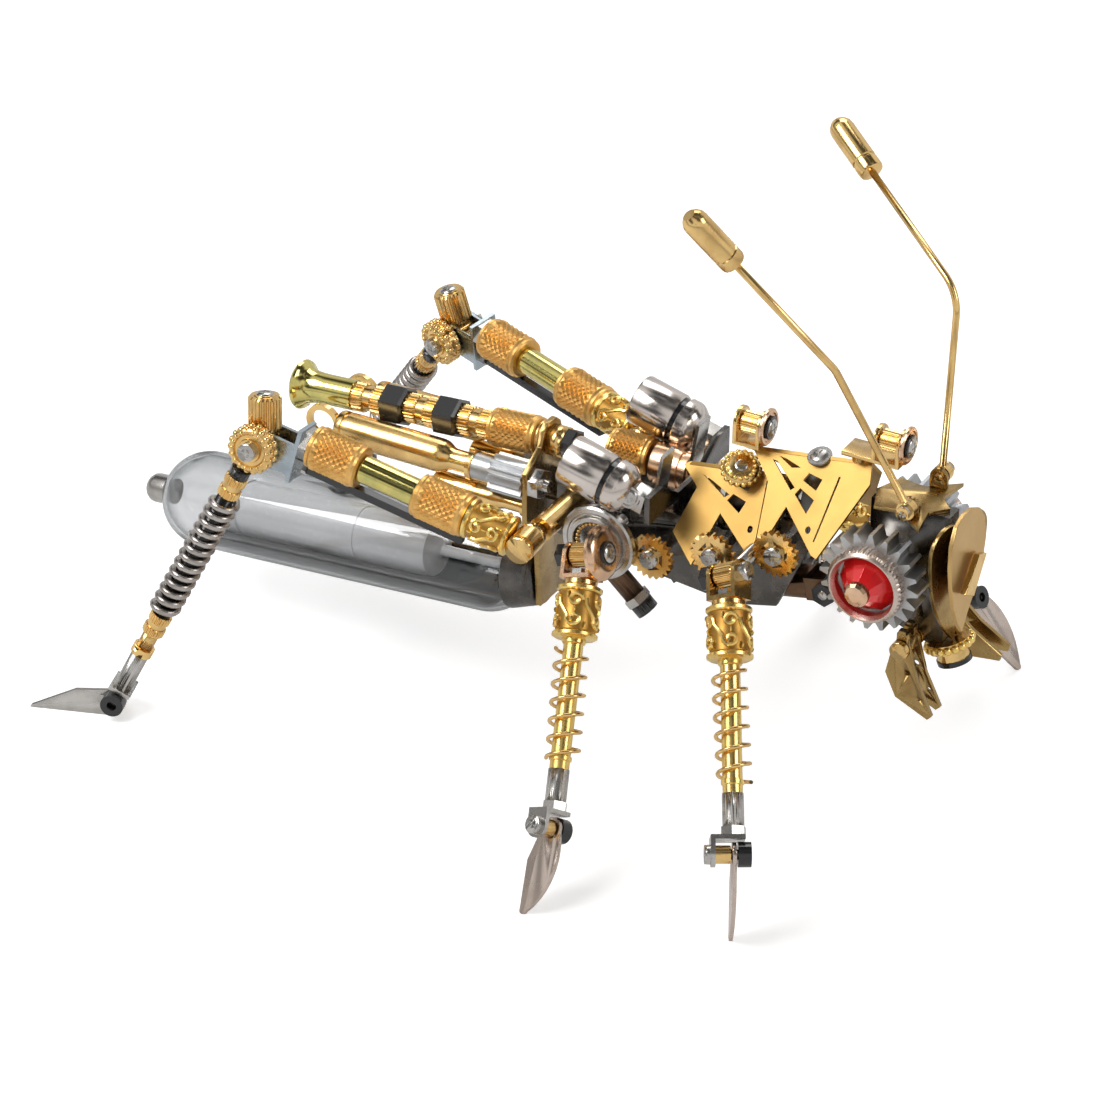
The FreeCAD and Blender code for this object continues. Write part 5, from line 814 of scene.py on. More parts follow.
def hip_ring():
    """A stepped steel washer, open in the middle, with a beaded brass ring inside."""
    radius, length = HIP_RING
    middle = length / 2
    profile = [(1.7, -middle), (radius - 0.3, -middle), (radius, -middle + 0.3), (radius, 0.2)]
    profile += [(radius - 0.4, 0.6), (6.9, 0.6), (6.7, 0.35), (6.3, 0.35), (6.1, middle)]
    profile += [(5.2, middle), (5.0, 0.3), (1.7, 0.3), (1.7, -middle)]
    ring = close_blank(turned_blank("hip_ring_blank", profile, 64), SILVER_STEEL)
    beads = ball_row("row", 4.5, 0.55, 0.45, 30, BRASS)
    return joined_pieces("hip_ring_pattern", [ring, beads])


HIP_RING_PATTERN = hip_ring()

# %% Eye bezel
BEZEL = (8.0, 3.0)
BEZEL_COLUMNS = 192


def eye_bezel():
    """A ring with a serrated outer rim and a polished slope down to the glass."""
    radius, length = BEZEL
    middle = length / 2
    profile = [(6.3, -middle), (radius, -middle), (radius, middle - 1.1)]
    profile += [(radius - 0.35, middle - 0.5), (radius - 0.8, middle), (radius - 1.1, middle)]
    profile += [(6.3, middle - 0.9), (6.3, -middle)]
    piece = turned_blank("bezel_pattern", profile, BEZEL_COLUMNS)
    fluted(piece, BEZEL_COLUMNS, radius, 0.97)
    return close_blank(piece, PINK_STEEL, crease=14)


EYE_BEZEL = eye_bezel()


# %% [markdown]
# ## Choosing by length
# The solids of a node are told apart by their length in millimetres. A chooser
# gives each its finish, or none where a modelled piece takes its place.


# %% Choosers
def by_length(finishes, other=None, slack=0.15):
    def choose(bar):
        for length, finish in finishes.items():
            if near(bar.length, length, slack):
                return finish
        return other

    return choose


def all_in(finish):
    return by_length({}, finish)


def swap_all(bar):
    """No solid keeps a finish, so that all of them come back as bars."""
    return None


def copies(node, pattern, size, name, change=None):
    """Put a copy of a pattern over every solid of a node."""
    for index, bar in enumerate(finished_copy(node, swap_all)):
        put_copy(pattern, size, change(bar) if change else bar, node, "%s_%d" % (name, index))


def is_ankle_screw(bar):
    return near(bar.length, 7.8) and near(bar.radius, 1.9)


# %% [markdown]
# ## Finish the plain solids
# Most plates and rods only need their finish, smooth shading and a bright edge.
# These nodes have no island to swap, so short loops finish them.

# %% Plates, gears and wires
BRIGHT_EDGE = 0.12
for node in ("face_plates", "crown_plates", "jaw_left", "jaw_right"):
    finished_copy(node, all_in(LEAF_GOLD), bevel=BRIGHT_EDGE)
for node in ("side_gears", "motor_bands"):
    finished_copy(node, crease=20)
finished_copy("side_plates", all_in(DARK_STEEL), bevel=BRIGHT_EDGE)
finished_copy("head_core", all_in(DARK_STEEL), crease=20)
finished_copy("eye_gears", all_in(GEAR_GREY), crease=20)
finished_copy("eye_cones", crease=12)


def link_finish(bar):
    return LEAF_GOLD if bar.length > 10 else SILVER_STEEL


finished_copy("link_plate_and_nuts", link_finish, bevel=0.08)
finished_copy("pinions", all_in(GEAR_GREY), crease=20)


# %% [markdown]
# ## The two shells
# The shells are roofs of sheet brass with a lattice cut in each side. Their sides
# lie in one slope, so that a corner is given by its place seen from the side,
# and the slope gives how far out it is.

# %% Outlines, windows and fold shade lines of the shells
MIDDLE_Y = -0.844
SLOPE = 0.769
LEAN = 0.108
SHEET = 0.8
SHEET_OUT, SHEET_UP = 0.79, 0.61
REAR_RIDGE = (36.43, 69.0)
REAR_OUTLINE = ((36.43, 69.0), (34.8, 68.1), (39.3, 65.3), (37.0, 57.3), (43.3, 53.2))
REAR_OUTLINE += ((46.1, 62.6), (55.7, 57.2), (59.4, 56.9), (58.6, 67.9), (58.0, 72.05))
REAR_WINDOWS_AND_FOLD_SHADE = (
    ((39.7, 67.6), (42.3, 67.1), (46.8, 65.9), (45.9, 65.2)),
    ((46.7, 64.9), (47.6, 66.2), (50.9, 65.7), (50.1, 63.6)),
    ((47.6, 67.7), (48.2, 68.9), (50.8, 68.8), (50.6, 67.4)),
    # A thin slot, cut so that the dark inside shows as a line of painted shade where the sheet
    # folds back.
    ((53.9, 70.0), (54.4, 69.9), (56.0, 59.8), (55.6, 59.8)),
)
FRONT_RIDGE = (49.73, 76.4)
FRONT_OUTLINE = ((49.73, 76.4), (55.6, 72.0), (57.2, 61.7), (57.5, 60.9), (58.3, 60.9))
FRONT_OUTLINE += ((61.2, 69.0), (69.6, 63.1), (70.9, 62.8), (77.2, 76.6), (76.25, 80.1))
FRONT_WINDOWS_AND_FOLD_SHADE = (
    ((55.2, 75.4), (56.2, 75.4), (61.7, 72.3), (61.0, 71.7)),
    ((62.2, 71.3), (62.9, 72.5), (66.6, 71.4), (65.8, 69.0)),
    ((63.0, 73.8), (63.8, 75.2), (67.0, 74.9), (66.4, 72.9)),
    ((56.6, 76.2), (58.0, 76.2), (61.6, 75.6), (59.8, 75.1)),
    # A thin slot, cut so that the dark inside shows as a line of painted shade where the sheet
    # folds back.
    ((70.3, 76.2), (70.7, 76.2), (69.4, 65.2), (69.1, 65.2)),
)
DIMPLES = {"rear_shell": (53.6, 61.8), "front_shell": (67.3, 66.7)}
DIMPLE_RADIUS = 0.6


# %% Cut the lattice shells
def on_slope(place, ridge, side, outward=0.0):
    """A point of the shell's side, which may stand a little off the sheet."""
    x, z = place
    out = SLOPE * (z - ridge[1]) - LEAN * (x - ridge[0])
    y = MIDDLE_Y + side * (out - outward * SHEET_OUT)
    return Vector((x, y, z + outward * SHEET_UP))


def round_hole(place, radius, points=12):
    angles = [2 * math.pi * index / points for index in range(points)]
    return [(place[0] + radius * math.cos(a), place[1] + radius * math.sin(a)) for a in angles]


def shell_side(node, outline, windows_and_fold_shade, ridge, side):
    corners = [on_slope(place, ridge, side) for place in outline]
    inward = Vector((0, side * SHEET * SHEET_OUT, -SHEET * SHEET_UP))
    name = "%s_side_%s" % (node, "near" if side > 0 else "far")
    sheet = flat_plate(name, corners, inward, SHELL_GOLD)
    for cut_shape in windows_and_fold_shade + (round_hole(DIMPLES[node], DIMPLE_RADIUS),):
        opening = [on_slope(place, ridge, side, 1.0) for place in cut_shape]
        cut_out(sheet, flat_plate("opening", opening, inward * 4, SHELL_GOLD))
    bright_edges(sheet, BRIGHT_EDGE)
    dress(sheet, node)


for side in (1, -1):
    shell_side("rear_shell", REAR_OUTLINE, REAR_WINDOWS_AND_FOLD_SHADE, REAR_RIDGE, side)
    shell_side("front_shell", FRONT_OUTLINE, FRONT_WINDOWS_AND_FOLD_SHADE, FRONT_RIDGE, side)

# %% The front leaf of the face, with its tab
LEAF = ((96.9, 6.4, 70.4), (96.6, 4.4, 73.2), (96.5, 0.6, 75.0), (96.5, -3.4, 75.4))
LEAF += ((96.6, -6.6, 74.2), (96.9, -9.0, 71.0), (97.3, -9.9, 66.6), (97.6, -9.8, 62.6))
LEAF += ((98.2, -9.4, 57.6), (98.6, -8.0, 53.6), (98.9, -6.2, 50.8), (98.6, -3.4, 53.8))
LEAF += ((98.2, 1.6, 58.0), (97.7, 5.2, 62.6), (97.2, 6.6, 66.8))
TAB = ((98.9, 2.6, 64.6), (98.8, -0.9, 66.0), (99.3, -7.6, 60.4), (99.6, -4.2, 58.4))
for name, corners, thick, finish in (
    ("face_leaf", LEAF, (0.9, 0, 0.09), SATIN_GOLD),
    ("face_tab", TAB, (1.4, 0, 0.14), BRASS),
):
    piece = flat_plate(name, corners, thick, finish)
    bright_edges(piece, 0.2)
    dress(piece, "face_plates")

# %% Holes in the jaws
JAW_HOLES = ((91.4, 42.4, 0.7), (94.4, 37.2, 0.5))
for node in ("jaw_left", "jaw_right"):
    jaw = bpy.data.objects[node + "_finished"]
    for x, z, radius in JAW_HOLES:
        ring = [(a, -20.0, b) for a, b in round_hole((x, z), radius)]
        cut_out(jaw, flat_plate("hole", ring, (0, 40.0, 0), LEAF_GOLD))

# %% [markdown]
# ## Turned pieces that stand alone
# The motor cans, the trumpet, the bullet-shaped shells and the bulb are turned
# afresh over their solids, so that long reflections run clean along them.

# %% Motor cans
FORWARD = (1, 0, 0)
CAN = [(4.6, 0), (5.2, 0.1), (5.4, 0.5), (5.4, 9.0), (5.25, 9.4)]
DOME = [(5.2, 0), (5.4, 0.3), (5.4, 1.9), (5.3, 2.4), (4.95, 3.1), (4.3, 3.9), (3.5, 4.6)]
DOME += [(2.8, 5.0)]
CUPS = "motor_cups"
cups = finished_copy(CUPS, lambda bar: None if bar.radius > 5 else SILVER_STEEL, bevel=0.1)
for index, bar in enumerate(cups):
    profile = CAN if near(bar.length, 9.4) else DOME
    turned_over(aimed(bar, FORWARD), CUPS, "motor_can_%d" % index, profile, CUP_STEEL, 64)

# %% Trumpet, bullets and antenna tips
TRUMPET = [(2.6, 0.4), (4.4, 0), (5.1, 0.1), (5.4, 0.6), (5.2, 1.1), (4.3, 1.8), (3.7, 2.9)]
TRUMPET += [(3.4, 4.6), (3.3, 7.0), (3.3, 14.0), (2.6, 14.0), (2.6, 0.4)]
LONG_BULLET = [(3.0, 0), (3.45, 0.15), (3.6, 0.5), (3.6, 1.5), (3.2, 1.7), (3.2, 2.2), (3.6, 2.4)]
LONG_BULLET += [(3.6, 24.6), (3.45, 25.6), (3.05, 26.5), (2.55, 27.3), (2.3, 28.2), (2.3, 31.9)]
LONG_BULLET += [(3.2, 32.2), (3.3, 33.2), (3.1, 33.4)]
SHORT_BULLET = [(2.1, 0), (2.5, 0.4), (2.5, 13.8), (2.35, 14.8), (2.0, 15.8), (1.6, 17.2)]
SHORT_BULLET += [(1.6, 21.0), (2.1, 21.3), (2.2, 22.2), (2.0, 22.4)]
ANTENNA_TIP = [(2.0, 0), (2.4, 0.2), (2.55, 0.7), (2.55, 2.6), (2.3, 2.8), (2.3, 3.2)]
ANTENNA_TIP += [(2.55, 3.4), (2.55, 11.6), (2.4, 12.6), (2.0, 13.3), (1.3, 14.0)]
PIPE, BULLETS = "trumpet_pipe", "bullet_shells"
for bar in finished_copy(PIPE, swap_all):
    turned_over(aimed(bar, FORWARD), PIPE, "trumpet_turned", TRUMPET, GREEN_BRASS, 64)
bullets = finished_copy(BULLETS, lambda bar: None if bar.length > 20 else BRASS, crease=40)
for index, bar in enumerate(bullets):
    profile = LONG_BULLET if bar.length > 30 else SHORT_BULLET
    turned_over(aimed(bar, FORWARD), BULLETS, "bullet_%d" % index, profile, BRASS, 48)
for node in ("antenna_left", "antenna_right"):
    for bar in finished_copy(node, by_length({14.0: None}, BRASS), crease=40):
        tip = bar._replace(axis=-bar.axis)
        turned_over(tip, node, node + "_tip", ANTENNA_TIP, BRASS, 40)

# %% Glass bulb
BULB_RADIUS = 10.75
BULB_LENGTH = 94.0
BULB_WALL = 0.8
DOME_STEPS = 14


def bulb_skin(bar, name, radius):
    """One skin of the bulb, from pole to pole, with a dome at each end."""
    half = []
    for step in range(DOME_STEPS + 1):
        angle = math.pi / 2 * step / DOME_STEPS
        across = max(radius * math.sin(angle), 0.05)
        half.append((across, BULB_RADIUS * (1 - math.cos(angle))))
    profile = half + [(r, BULB_LENGTH - z) for r, z in reversed(half)]
    return turned_over(bar, "bulb_glass", name, profile, SMOKY_GLASS, 96, 80)


glass_bar = max(finished_copy("bulb_glass", swap_all), key=lambda bar: bar.length)
outer = bulb_skin(glass_bar, "bulb_glass_outer", BULB_RADIUS)
inner = bulb_skin(glass_bar, "bulb_glass_inner", BULB_RADIUS - BULB_WALL)
place = stand(glass_bar.centre, glass_bar.axis)
shorter = Matrix.Diagonal((1, 1, 1 - 2 * BULB_WALL / BULB_LENGTH, 1))
inner.data.transform(place @ shorter @ place.inverted())
inner.data.flip_normals()
joined_pieces("bulb_glass_blown", [outer, inner])

# %% A dark sheet in the lower part of the bulb, as painted shade
# A dark teal sheet inside the bulb, cut off a little below its middle. It paints the shade that
# darkens the bulb's lower edge.
SHADE_SHEET_PROFILE = [(9.2, 0), (9.7, 0), (9.7, 74.0), (9.2, 74.0), (9.2, 0)]
SHADE_SHEET_DEPTH = 3.2
shade_sheet_bar = section_of(aimed(glass_bar, FORWARD), 9.0, 83.0, 9.7)
shade_sheet = turned_over(shade_sheet_bar, "bulb_glass", "bulb_painted_shade_sheet", SHADE_SHEET_PROFILE, DARK_SHADE_SHEET, 72, 40)
open_up(shade_sheet)
level = (shade_sheet_bar.centre + Vector((0, 0, -SHADE_SHEET_DEPTH))) * MM
upward = shade_sheet_bar.axis.cross(Vector((0, 1, 0)))
bpy.ops.mesh.bisect(plane_co=level, plane_no=upward, use_fill=False, clear_outer=True)
bpy.ops.object.mode_set(mode="OBJECT")
print("shade sheet box:", [round(v / MM, 1) for v in shade_sheet.dimensions])

# %% Core and nipple of the bulb
CORE = [(5.0, 0), (6.0, 0.1), (6.2, 0.5), (6.2, 3.5), (5.8, 3.6), (5.8, 4.4), (6.2, 4.5)]
CORE += [(6.2, 34.0), (5.9, 34.1), (5.9, 34.9), (6.2, 35.0), (6.2, 51.0), (5.9, 52.0)]
CORE += [(3.0, 52.4), (1.2, 53.5), (1.2, 74.6)]
for bar in finished_copy("bulb_core", swap_all):
    turned_over(aimed(bar, FORWARD), "bulb_core", "bulb_core_turned", CORE, WHITE_CORE, 64)
NIPPLE = [(3.3, 0), (3.3, 3.2), (3.15, 4.0), (2.6, 4.8), (1.9, 5.35), (0.8, 5.5)]
for bar in finished_copy("bulb_caps", by_length({5.5: None}, DARK_STEEL), crease=40):
    backward = aimed(bar, (-1, 0, 0))
    turned_over(backward, "bulb_caps", "bulb_nipple", NIPPLE, SILVER_STEEL, 40, 60)

# %% Knurled and fluted work on the top pipe
NUT_OVERSIZE = 1.1


def bigger(bar):
    return bar._replace(radius=bar.radius * NUT_OVERSIZE)


copies("pipe_inserts", FLUTED_INSERT, INSERT, "pipe_insert")
copies("pipe_nuts", HEXAGON_NUT, NUT, "pipe_nut", bigger)
sleeve_bars = finished_copy("pipe_sleeve", by_length({11.5: None}, BRASS), crease=40)
put_copy(KNURLED_SLEEVE, SLEEVE, sleeve_bars[0], "pipe_sleeve", "pipe_sleeve_knurled")


# %% [markdown]
# ## Screws, rods and rollers
# A screw of the CAD model is a plain bar. It gets its finish, and a domed head
# with a cross recess is put over its end.


# %% Screw heads
def screws(node, is_screw, others=None):
    """Finish a node and put a domed head on each of its screws."""
    found = []

    def choose(bar):
        if is_screw(bar):
            found.append(bar)
        return (others and others(bar)) or FINISHES[SLOT_OF[node]]

    finished_copy(node, choose)
    for index, bar in enumerate(found):
        put_copy(SCREW_HEAD, HEAD, head_of(bar), node, "%s_head_%d" % (node, index))


WASHER = [(1.4, 0), (2.4, 0), (2.55, 0.15), (2.55, 0.5), (2.4, 0.65), (1.4, 0.65), (1.4, 0)]
WASHER_THICK = 0.65
HEAD_RISE = 0.75


def screw_at(node, name, place, way, size=1.0, ground=BLACK_STEEL):
    """A washer and a domed screw head on a face, at a place in millimetres."""
    way = Vector(way).normalized()
    washer = Bar(Vector(place) + way * WASHER_THICK / 2, way, WASHER_THICK, 2.5)
    turned_over(washer, node, name + "_washer", [(r * size, h) for r, h in WASHER], ground)
    head = Bar(Vector(place) + way * HEAD_RISE, way, HEAD[1], HEAD[0] * size)
    put_copy(SCREW_HEAD, HEAD, head, node, name + "_screw")


# %% Screws and rods of the body
screws("gear_screws", lambda bar: near(bar.length, 2.6))
screws("head_screws", lambda bar: near(bar.length, 4.6), all_in(BRASS))
cross_finish = by_length({59.1: BRASS, 13.15: BRASS, 1.8: BLACK_STEEL}, SILVER_STEEL)
screws("cross_rods", lambda bar: near(bar.length, 10.6), cross_finish)
finished_copy("belly_rods", by_length({2.6: BLACK_STEEL, 1.8: SILVER_STEEL}, DARK_BROWN))
neck_finish = by_length({10.4: SILVER_STEEL, 1.8: BLACK_STEEL}, DARK_BROWN)
finished_copy("neck_fork", neck_finish, crease=30)
copies("hip_rollers", FLUTED_ROLLER, ROLLER, "hip_roller")

# %% Eyelets on top
EYELET_EAR = 3.0
EYELET_DISC = [(1.5, 0), (3.7, 0), (3.9, 0.2), (3.9, 0.6), (3.6, 0.9), (3.1, 0.9), (2.9, 0.6)]
EYELET_DISC += [(1.5, 0.6), (1.5, 0)]
EYELETS = "top_eyelets"
rollers = finished_copy(EYELETS, by_length({4.0: None}, BRASS, slack=0.05), bevel=BRIGHT_EDGE)
for index, bar in enumerate(rollers):
    put_copy(FLUTED_ROLLER, ROLLER, bar, EYELETS, "eyelet_roller_%d" % index)
    way = aimed(bar, FORWARD).axis
    ear = bar.centre + way * EYELET_EAR
    disc = Bar(ear + way * 0.4, way, 0.8, 3.9)
    turned_over(disc, EYELETS, "eyelet_ear_%d" % index, EYELET_DISC, PINK_GOLD, 48)
    screw_at(EYELETS, "eyelet_%d" % index, ear + way * 0.7, way, 0.95)

# %% Rings of the hips and eyes
BOSS = [(2.6, 0), (2.6, 1.0), (2.1, 1.6), (1.2, 1.8)]
LEFTWARD = Vector((0, 1, 0))


def outward(bar):
    """The bar with its axis pointing away from the model's middle."""
    return bar._replace(axis=LEFTWARD if bar.centre.y > 0 else -LEFTWARD)


for index, bar in enumerate(finished_copy("eye_bosses", swap_all)):
    boss = aimed(bar, outward(bar).axis)
    turned_over(boss, "eye_bosses", "eye_boss_%d" % index, BOSS, PINK_GOLD, 12, 10)
copies("hip_rings", HIP_RING_PATTERN, HIP_RING, "hip_rings", outward)
copies("eye_bezels", EYE_BEZEL, BEZEL, "eye_bezels", outward)

# %% Beaded ring of the mouth
mouth_bars = []


def mouth_finish(bar):
    mouth_bars.append(bar)
    return BLACK_STEEL if near(bar.length, 1.0) else BRASS


finished_copy("mouth_ring", mouth_finish, crease=20)
mouth_beads = ball_row("mouth_row", 4.5, 0.0, 0.95, 18, CAST_GOLD)
widest = max(mouth_bars, key=lambda bar: bar.radius)
put_copy(mouth_beads, (1, 1), widest._replace(length=1, radius=1), "mouth_ring", "mouth_beads")
retire(mouth_beads)


# %% [markdown]
# ## The legs
# A middle or front leg is a brass tube in a loose spring, under a carved bead. A
# hind leg has a thigh with two knurled sleeves, a bracket at the knee and a
# tight steel spring round the shin.

# %% Middle and front legs
POST_BEAD = (1.4, 12.05)
POST_TUBE = [(2.0, 0), (2.0, 1.6), (2.3, 1.8), (2.3, 2.6), (2.0, 2.8), (2.0, 25.4), (2.4, 25.7)]
POST_TUBE += [(2.4, 26.8)]
POST_COLLAR = [(3.0, 0), (3.4, 0.3), (3.4, 1.1), (3.1, 1.4)]


def ankle_finish(bar, ears=BRASS):
    if near(bar.length, 2.6) and near(bar.radius, 2.5):
        return BLACK_STEEL
    if near(bar.length, 7.0) and near(bar.radius, 6.33):
        return ears
    return BRASS if near(bar.length, 3.0) else SILVER_STEEL


for leg in ("mid_left", "mid_right", "front_left", "front_right"):
    post = leg + "_post"
    ears = PINK_GOLD if leg.startswith("mid") else BRASS
    spring, shaft = sorted(finished_copy(post, swap_all), key=lambda bar: bar.length)
    put_copy(LEG_COIL, LEG_SPRING, spring, post, leg + "_coil")
    bead = section_of(shaft, *POST_BEAD, BEAD[0] * 1.01)
    put_copy(CARVED_BEAD, BEAD, bead, post, leg + "_bead")
    tube = section_of(shaft, POST_BEAD[1] - 0.1, shaft.length, 2.0)
    turned_over(tube, post, leg + "_tube", POST_TUBE, CAST_GOLD)
    collar = section_of(shaft, 0, 1.4, 3.4)
    turned_over(collar, post, leg + "_collar", POST_COLLAR, BRASS)
    screws(leg + "_yoke", is_ankle_screw, lambda bar: ankle_finish(bar, ears))
    finished_copy(leg + "_claw", all_in(PINK_STEEL), bevel=BRIGHT_EDGE)

# %% Round ears on the hips of the middle legs
EAR_DISC = [(2.0, 0), (5.3, 0), (5.6, 0.25), (5.6, 0.9), (5.2, 1.5), (4.4, 1.95), (3.4, 2.2)]
EAR_DISC += [(2.0, 2.25), (2.0, 0)]
EAR_OUT = 3.55
EAR_WAY = Vector((0.947, 0, 0.322))
HIP_X, HIP_Z = 23.7, 54.6
for name, hip_y in (("mid_left", 21.2), ("mid_right", -22.8)):
    ear = Vector((HIP_X, hip_y, HIP_Z)) + EAR_WAY * EAR_OUT
    disc = Bar(ear + EAR_WAY * 1.1, EAR_WAY, 2.2, 5.6)
    turned_over(disc, name + "_yoke", name + "_ear", EAR_DISC, PINK_GOLD, 56)
    screw_at(name + "_yoke", name + "_ear", ear + EAR_WAY * 2.1, EAR_WAY)

# %% Thighs
THIGH_TUBE = [(2.6, 0), (2.95, 0.2), (2.95, 12.8), (2.6, 13.0)]


def dress_thigh(node):
    for index, bar in enumerate(finished_copy(node, by_length({4.2: BRASS}), crease=40)):
        name = "%s_turned_%d" % (node, index)
        if near(bar.length, 13.0):
            turned_over(bar, node, name, THIGH_TUBE, GREEN_BRASS, 48)
        elif near(bar.length, 11.7):
            put_copy(KNURLED_SLEEVE, SLEEVE, bar, node, name)
        else:
            put_copy(CARVED_BEAD, BEAD, bar, node, name)


# %% Knees
BRACKET_FINISH = by_length({36.4: BLACK_STEEL, 6.8: BLUE_STEEL}, SILVER_STEEL)
STANDING_CAP = 7.4


def dress_knee(bracket, cap):
    screws(bracket, lambda bar: near(bar.length, 14.2), BRACKET_FINISH)
    for index, bar in enumerate(finished_copy(cap, swap_all)):
        put_copy(FLUTED_ROLLER, ROLLER, bar, cap, "%s_fluted_%d" % (cap, index))
        if near(bar.length, STANDING_CAP):
            upward = aimed(bar, (0, 0, 1)).axis
            top = bar.centre + upward * (bar.length / 2 - 0.45)
            screw_at(cap, cap + "_top", top, upward, 0.95, BRASS)


# %% Shins and feet
INSERT_LENGTH, RING_LENGTH, COIL_LENGTH, ROD_LENGTH = 5.2, 3.8, 32.8, 33.0


def shin_finish(bar):
    if near(bar.length, INSERT_LENGTH) or near(bar.length, RING_LENGTH):
        return None
    return BLACK_STEEL if near(bar.length, 2.0, 0.05) else BRASS


def dress_shin(node):
    for index, bar in enumerate(finished_copy(node, shin_finish, crease=30)):
        name = "%s_turned_%d" % (node, index)
        if near(bar.length, RING_LENGTH):
            facing = aimed(bar, (0, -1, 0))
            put_copy(KNEE_RING_PATTERN, KNEE_RING, facing, node, name)
        else:
            put_copy(FLUTED_INSERT, INSERT, bar, node, name)


def dress_foot(node):
    ankle_screws = []

    def choose(bar):
        if is_ankle_screw(bar):
            ankle_screws.append(bar)
        if near(bar.length, COIL_LENGTH):
            return None
        return BLACK_STEEL if near(bar.length, ROD_LENGTH) else ankle_finish(bar)

    for bar in finished_copy(node, choose, crease=35):
        put_copy(SHIN_COIL, SHIN_SPRING, bar, node, node + "_coil")
    put_copy(SCREW_HEAD, HEAD, head_of(ankle_screws[0]), node, node + "_head")


# %% Hind legs
for leg in ("hind_left_", "hind_right_"):
    dress_thigh(leg + "thigh")
    dress_knee(leg + "bracket", leg + "knee_cap")
    dress_shin(leg + "shin")
    dress_foot(leg + "spring")
    finished_copy(leg + "claw", bevel=BRIGHT_EDGE)

# %% [markdown]
# ## Small parts on the back
# Between the motors and the shells there are a knurled sleeve, a short golden
# cylinder and bent steel straps. A beaded cap sits on the rear shell.

# %% Far sleeve and cylinder
PLATES = "side_plates"
FAR_SLEEVE = Bar(Vector((18.4, 7.2, 62.0)), Vector(FORWARD), 9.5, 4.3)
put_copy(KNURLED_SLEEVE, SLEEVE, FAR_SLEEVE, PLATES, "far_sleeve")
FAR_CYLINDER = Bar(Vector((28.4, 7.2, 61.3)), Vector(FORWARD), 9.0, 4.6)
CYLINDER = [(3.9, 0), (4.5, 0.3), (4.6, 0.8), (4.6, 6.6), (4.2, 6.8), (4.2, 7.3), (4.6, 7.5)]
CYLINDER += [(4.6, 8.6), (4.2, 9.0), (3.0, 9.0)]
turned_over(FAR_CYLINDER, PLATES, "far_cylinder", CYLINDER, PINK_GOLD, 56)

# %% Beaded cap
CAP_PLACE = Vector((48.4, -2.6, 71.0))
CAP_WAY = Vector((0.25, -0.5, 0.83))
CAP_PROFILE = [(3.4, 0), (3.7, 0.3), (3.7, 1.6), (3.2, 2.2), (2.4, 2.5), (1.0, 2.6)]
cap_bar = Bar(CAP_PLACE + CAP_WAY * 1.3, CAP_WAY, 2.6, 3.7)
turned_over(cap_bar, "rear_shell", "beaded_cap", CAP_PROFILE, BRASS)
lower_row = ball_row("cap_row", 3.7, 0.0, 0.62, 18, CAST_GOLD)
upper_row = ball_row("cap_row_upper", 2.9, 1.2, 0.5, 16, CAST_GOLD)
cap_rows = joined_pieces("cap_rows", [lower_row, upper_row])
rows_bar = Bar(CAP_PLACE + CAP_WAY * 1.1, CAP_WAY, 1, 1)
put_copy(cap_rows, (1, 1), rows_bar, "rear_shell", "beaded_cap_rows")
retire(cap_rows)
head_bar = Bar(CAP_PLACE + CAP_WAY * 2.3, CAP_WAY, HEAD[1], 1.7)
put_copy(SCREW_HEAD, HEAD, head_bar, "rear_shell", "beaded_cap_screw")

# %% Two more screws
RIDGE_SCREW = (64.9, -0.84, 77.9)
MOTOR_SCREW = (31.2, -17.5, 67.4)
screw_at("front_shell", "ridge", RIDGE_SCREW, (-0.1, -0.35, 0.93), 1.0, SILVER_STEEL)
screw_at(CUPS, "motor_near", MOTOR_SCREW, (0.25, -0.9, 0.35), 0.9, SILVER_STEEL)

# %% Bent straps
Z_STRAP = ((35.2, 74.0), (33.2, 62.0), (28.6, 60.8), (28.4, 57.4))
STRAP_WIDTH = 5.0
STRAP_THICK = 0.7
for name, near_y in (("z_strap_near", -11.0), ("z_strap_far", 4.4)):
    back = [(x - STRAP_THICK, z + STRAP_THICK * 0.6) for x, z in reversed(Z_STRAP)]
    corners = [(x, near_y, z) for x, z in list(Z_STRAP) + back]
    strap = flat_plate(name, corners, (0, STRAP_WIDTH, 0), SILVER_STEEL)
    bright_edges(strap, 0.1)
    dress(strap, PLATES)

# %% Put the patterns away
retire(KNURLED_SLEEVE, FLUTED_INSERT, FLUTED_ROLLER, HEXAGON_NUT, SCREW_HEAD, LEG_COIL, SHIN_COIL)
retire(CARVED_BEAD, KNEE_RING_PATTERN, HIP_RING_PATTERN, EYE_BEZEL)

# %% [markdown]
# ## The studio
# The model stands on a white table in front of a white wall, under one soft lamp
# at the left and weaker ones at the right and behind. Polished metal is a mirror,
# and in an all-white room it would look like paper. So above the horizon the
# world is an uneven room with dark and bright places, which the metal shows as
# streaks, while the camera sees plain white.

# %% Floor
TABLE_SIZE = 3.0
TABLE_COLOUR = 0.8
TABLE_GLOW = 0.5
bpy.ops.object.select_all(action="DESELECT")
bpy.ops.mesh.primitive_plane_add(size=TABLE_SIZE, location=(0, 0, 0))
table = bpy.context.object
table.name = "studio_table"


def table_white():
    """White card. The camera sees a little glow, so that the lit card is white."""
    material, tree, shader = new_material("table white")
    set_sockets(shader, Base_Color=(TABLE_COLOUR, TABLE_COLOUR, TABLE_COLOUR, 1), Roughness=0.7)
    shader.inputs["Specular IOR Level"].default_value = 0.1
    shader.inputs["Emission Color"].default_value = (1, 1, 1, 1)
    ray = add_node(tree, "LightPath")
    glow = add_node(tree, "Math", operation="MULTIPLY")
    glow.inputs[1].default_value = TABLE_GLOW
    join(tree, ray, "Is Camera Ray", glow, 0)
    join(tree, glow, 0, shader, "Emission Strength")
    return material


table.data.materials.append(table_white())
table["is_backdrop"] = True

# %% World
HORIZON = 0.10
HORIZON_BLUR = 0.14
ROOM_DARK = 0.06
ROOM_BRIGHT = 1.0
ROOM_SCALE = 1.7


